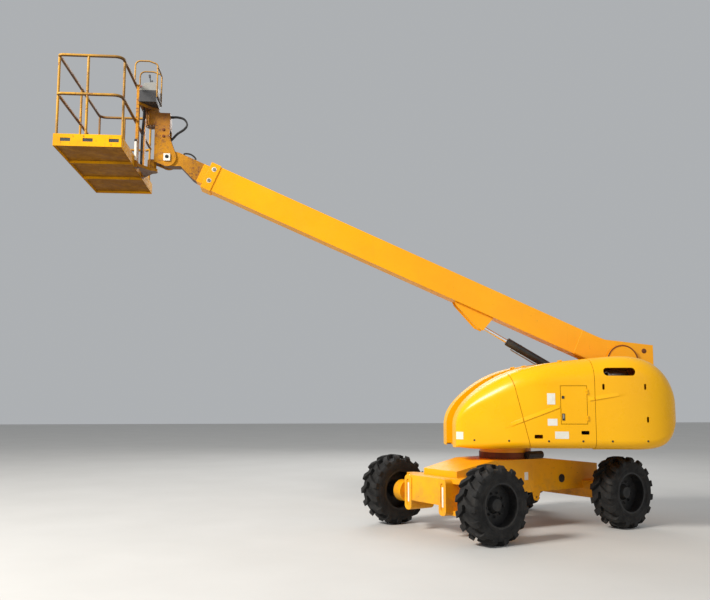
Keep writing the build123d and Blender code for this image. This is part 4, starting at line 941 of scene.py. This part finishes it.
block("document_box", TURRET, *DOCUMENT_BOX, "platform", "label", "grey_plastic", 0.006)
block("document_lid", TURRET, *DOCUMENT_LID, "platform", "black", "grey_plastic", 0.004)

bm = bmesh.new()
add_box(bm, TURRET, *PEDAL_BASE)
add_prism(bm, TURRET, PEDAL_OUTLINE, *PEDAL_SIDES)
piece("foot_pedal", bm, "platform", "black", 0.003)

for side, word in SIDES:
    bm = bmesh.new()
    for z in YOKE_BOLT_LEVELS:
        met = from_side(SLEW + YOKE_BOLTS, z, side, ["platform_yoke"])
        if met:
            add_bolts(bm, [met[0]], (0, side, 0), 0.030, 0.012)
    piece(f"yoke_bolts_{word}", bm, "yoke", "rust", 0.001)

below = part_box("platform_rotator")[0][2] - 0.5
spots = []
for k in range(ROTATOR_BOLTS):
    a = 2 * math.pi * k / ROTATOR_BOLTS
    x, y = SLEW + ROTATOR_PLACE + ROTATOR_RING * math.cos(a), ROTATOR_RING * math.sin(a)
    met = strike(Vector((x, y, below)), UP, ["platform_rotator"])
    if met:
        spots.append(met[0])
bm = bmesh.new()
add_bolts(bm, spots, -UP, 0.020, 0.010)
piece("rotator_bolts", bm, "yoke", "zinc", 0.0008)

# Neck loop
LOOP_ENDS, LOOP_ACROSS, LOOP_RADIUS = (6.60, 6.44), 0.03, 0.011

starts = [BOOM @ Vector((along, LOOP_ACROSS, 1.0)) for along in LOOP_ENDS]
ends = [strike(start, -BOOM_UP, ["boom_neck", "boom_fly"]) for start in starts]
if all(ends):
    a, b = ends[0][0], ends[1][0]
    spots = ((a, -0.006), (a, 0.03), ((a + b) / 2, 0.055), (b, 0.03), (b, -0.006))
    bm = bmesh.new()
    add_tube(bm, smooth_path([at + BOOM_UP * rise for at, rise in spots]), LOOP_RADIUS)
    piece("neck_loop", bm, "fly", "hose")

# Engine side
GRILLE_PLACE, GRILLE_LEVEL = -1.45, 1.42
GRILLE_BARS, GRILLE_PITCH = 7, 0.035
LATCH_LEVEL = 1.40
RIGHT_LABELS = (
    ("label_right_upper", -0.36, 1.68, 0.10, 0.14),
    ("label_right_lower", -0.50, 1.23, 0.17, 0.09),
)

patch("grille_back", on_shell(GRILLE_PLACE, GRILLE_LEVEL, -1), 0.46, 0.27, "black", 0.0025, 12)
for k in range(GRILLE_BARS):
    met = on_shell(GRILLE_PLACE, GRILLE_LEVEL + GRILLE_PITCH * (k - GRILLE_BARS // 2), -1)
    patch(f"grille_bar_{k}", met, 0.44, 0.014, "cowl", 0.009, 10)
for name, s in (("hood_latch_front", -0.42), ("hood_latch_rear", -0.74)):
    patch(name, on_shell(s, LATCH_LEVEL, -1), 0.034, 0.075, "black", 0.007, 4)
    met = on_shell(s, LATCH_LEVEL + 0.005, -1)
    patch(f"{name}_handle", met, 0.014, 0.052, "zinc", 0.012, 4)
for name, s, z, wide, high in RIGHT_LABELS:
    patch(name, on_shell(s, z, -1), wide, high)

# Floor
bm = bmesh.new()
for x, y in ((-40, -40), (40, -40), (40, 40), (-40, 40)):
    bm.verts.new((x, y, 0))
bm.faces.new(bm.verts)
mesh = bpy.data.meshes.new("ground")
bm.to_mesh(mesh)
bm.free()
ground = show(bpy.data.objects.new("ground", mesh))
m = Maker("pale_floor")
tone = m.mix(m.noise(0.8, 6.0), rgb(0.52, 0.51, 0.49), rgb(0.60, 0.59, 0.57))
mesh.materials.append(m.set(Base_Color=tone, Roughness=0.85))
ground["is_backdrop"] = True

low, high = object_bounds()
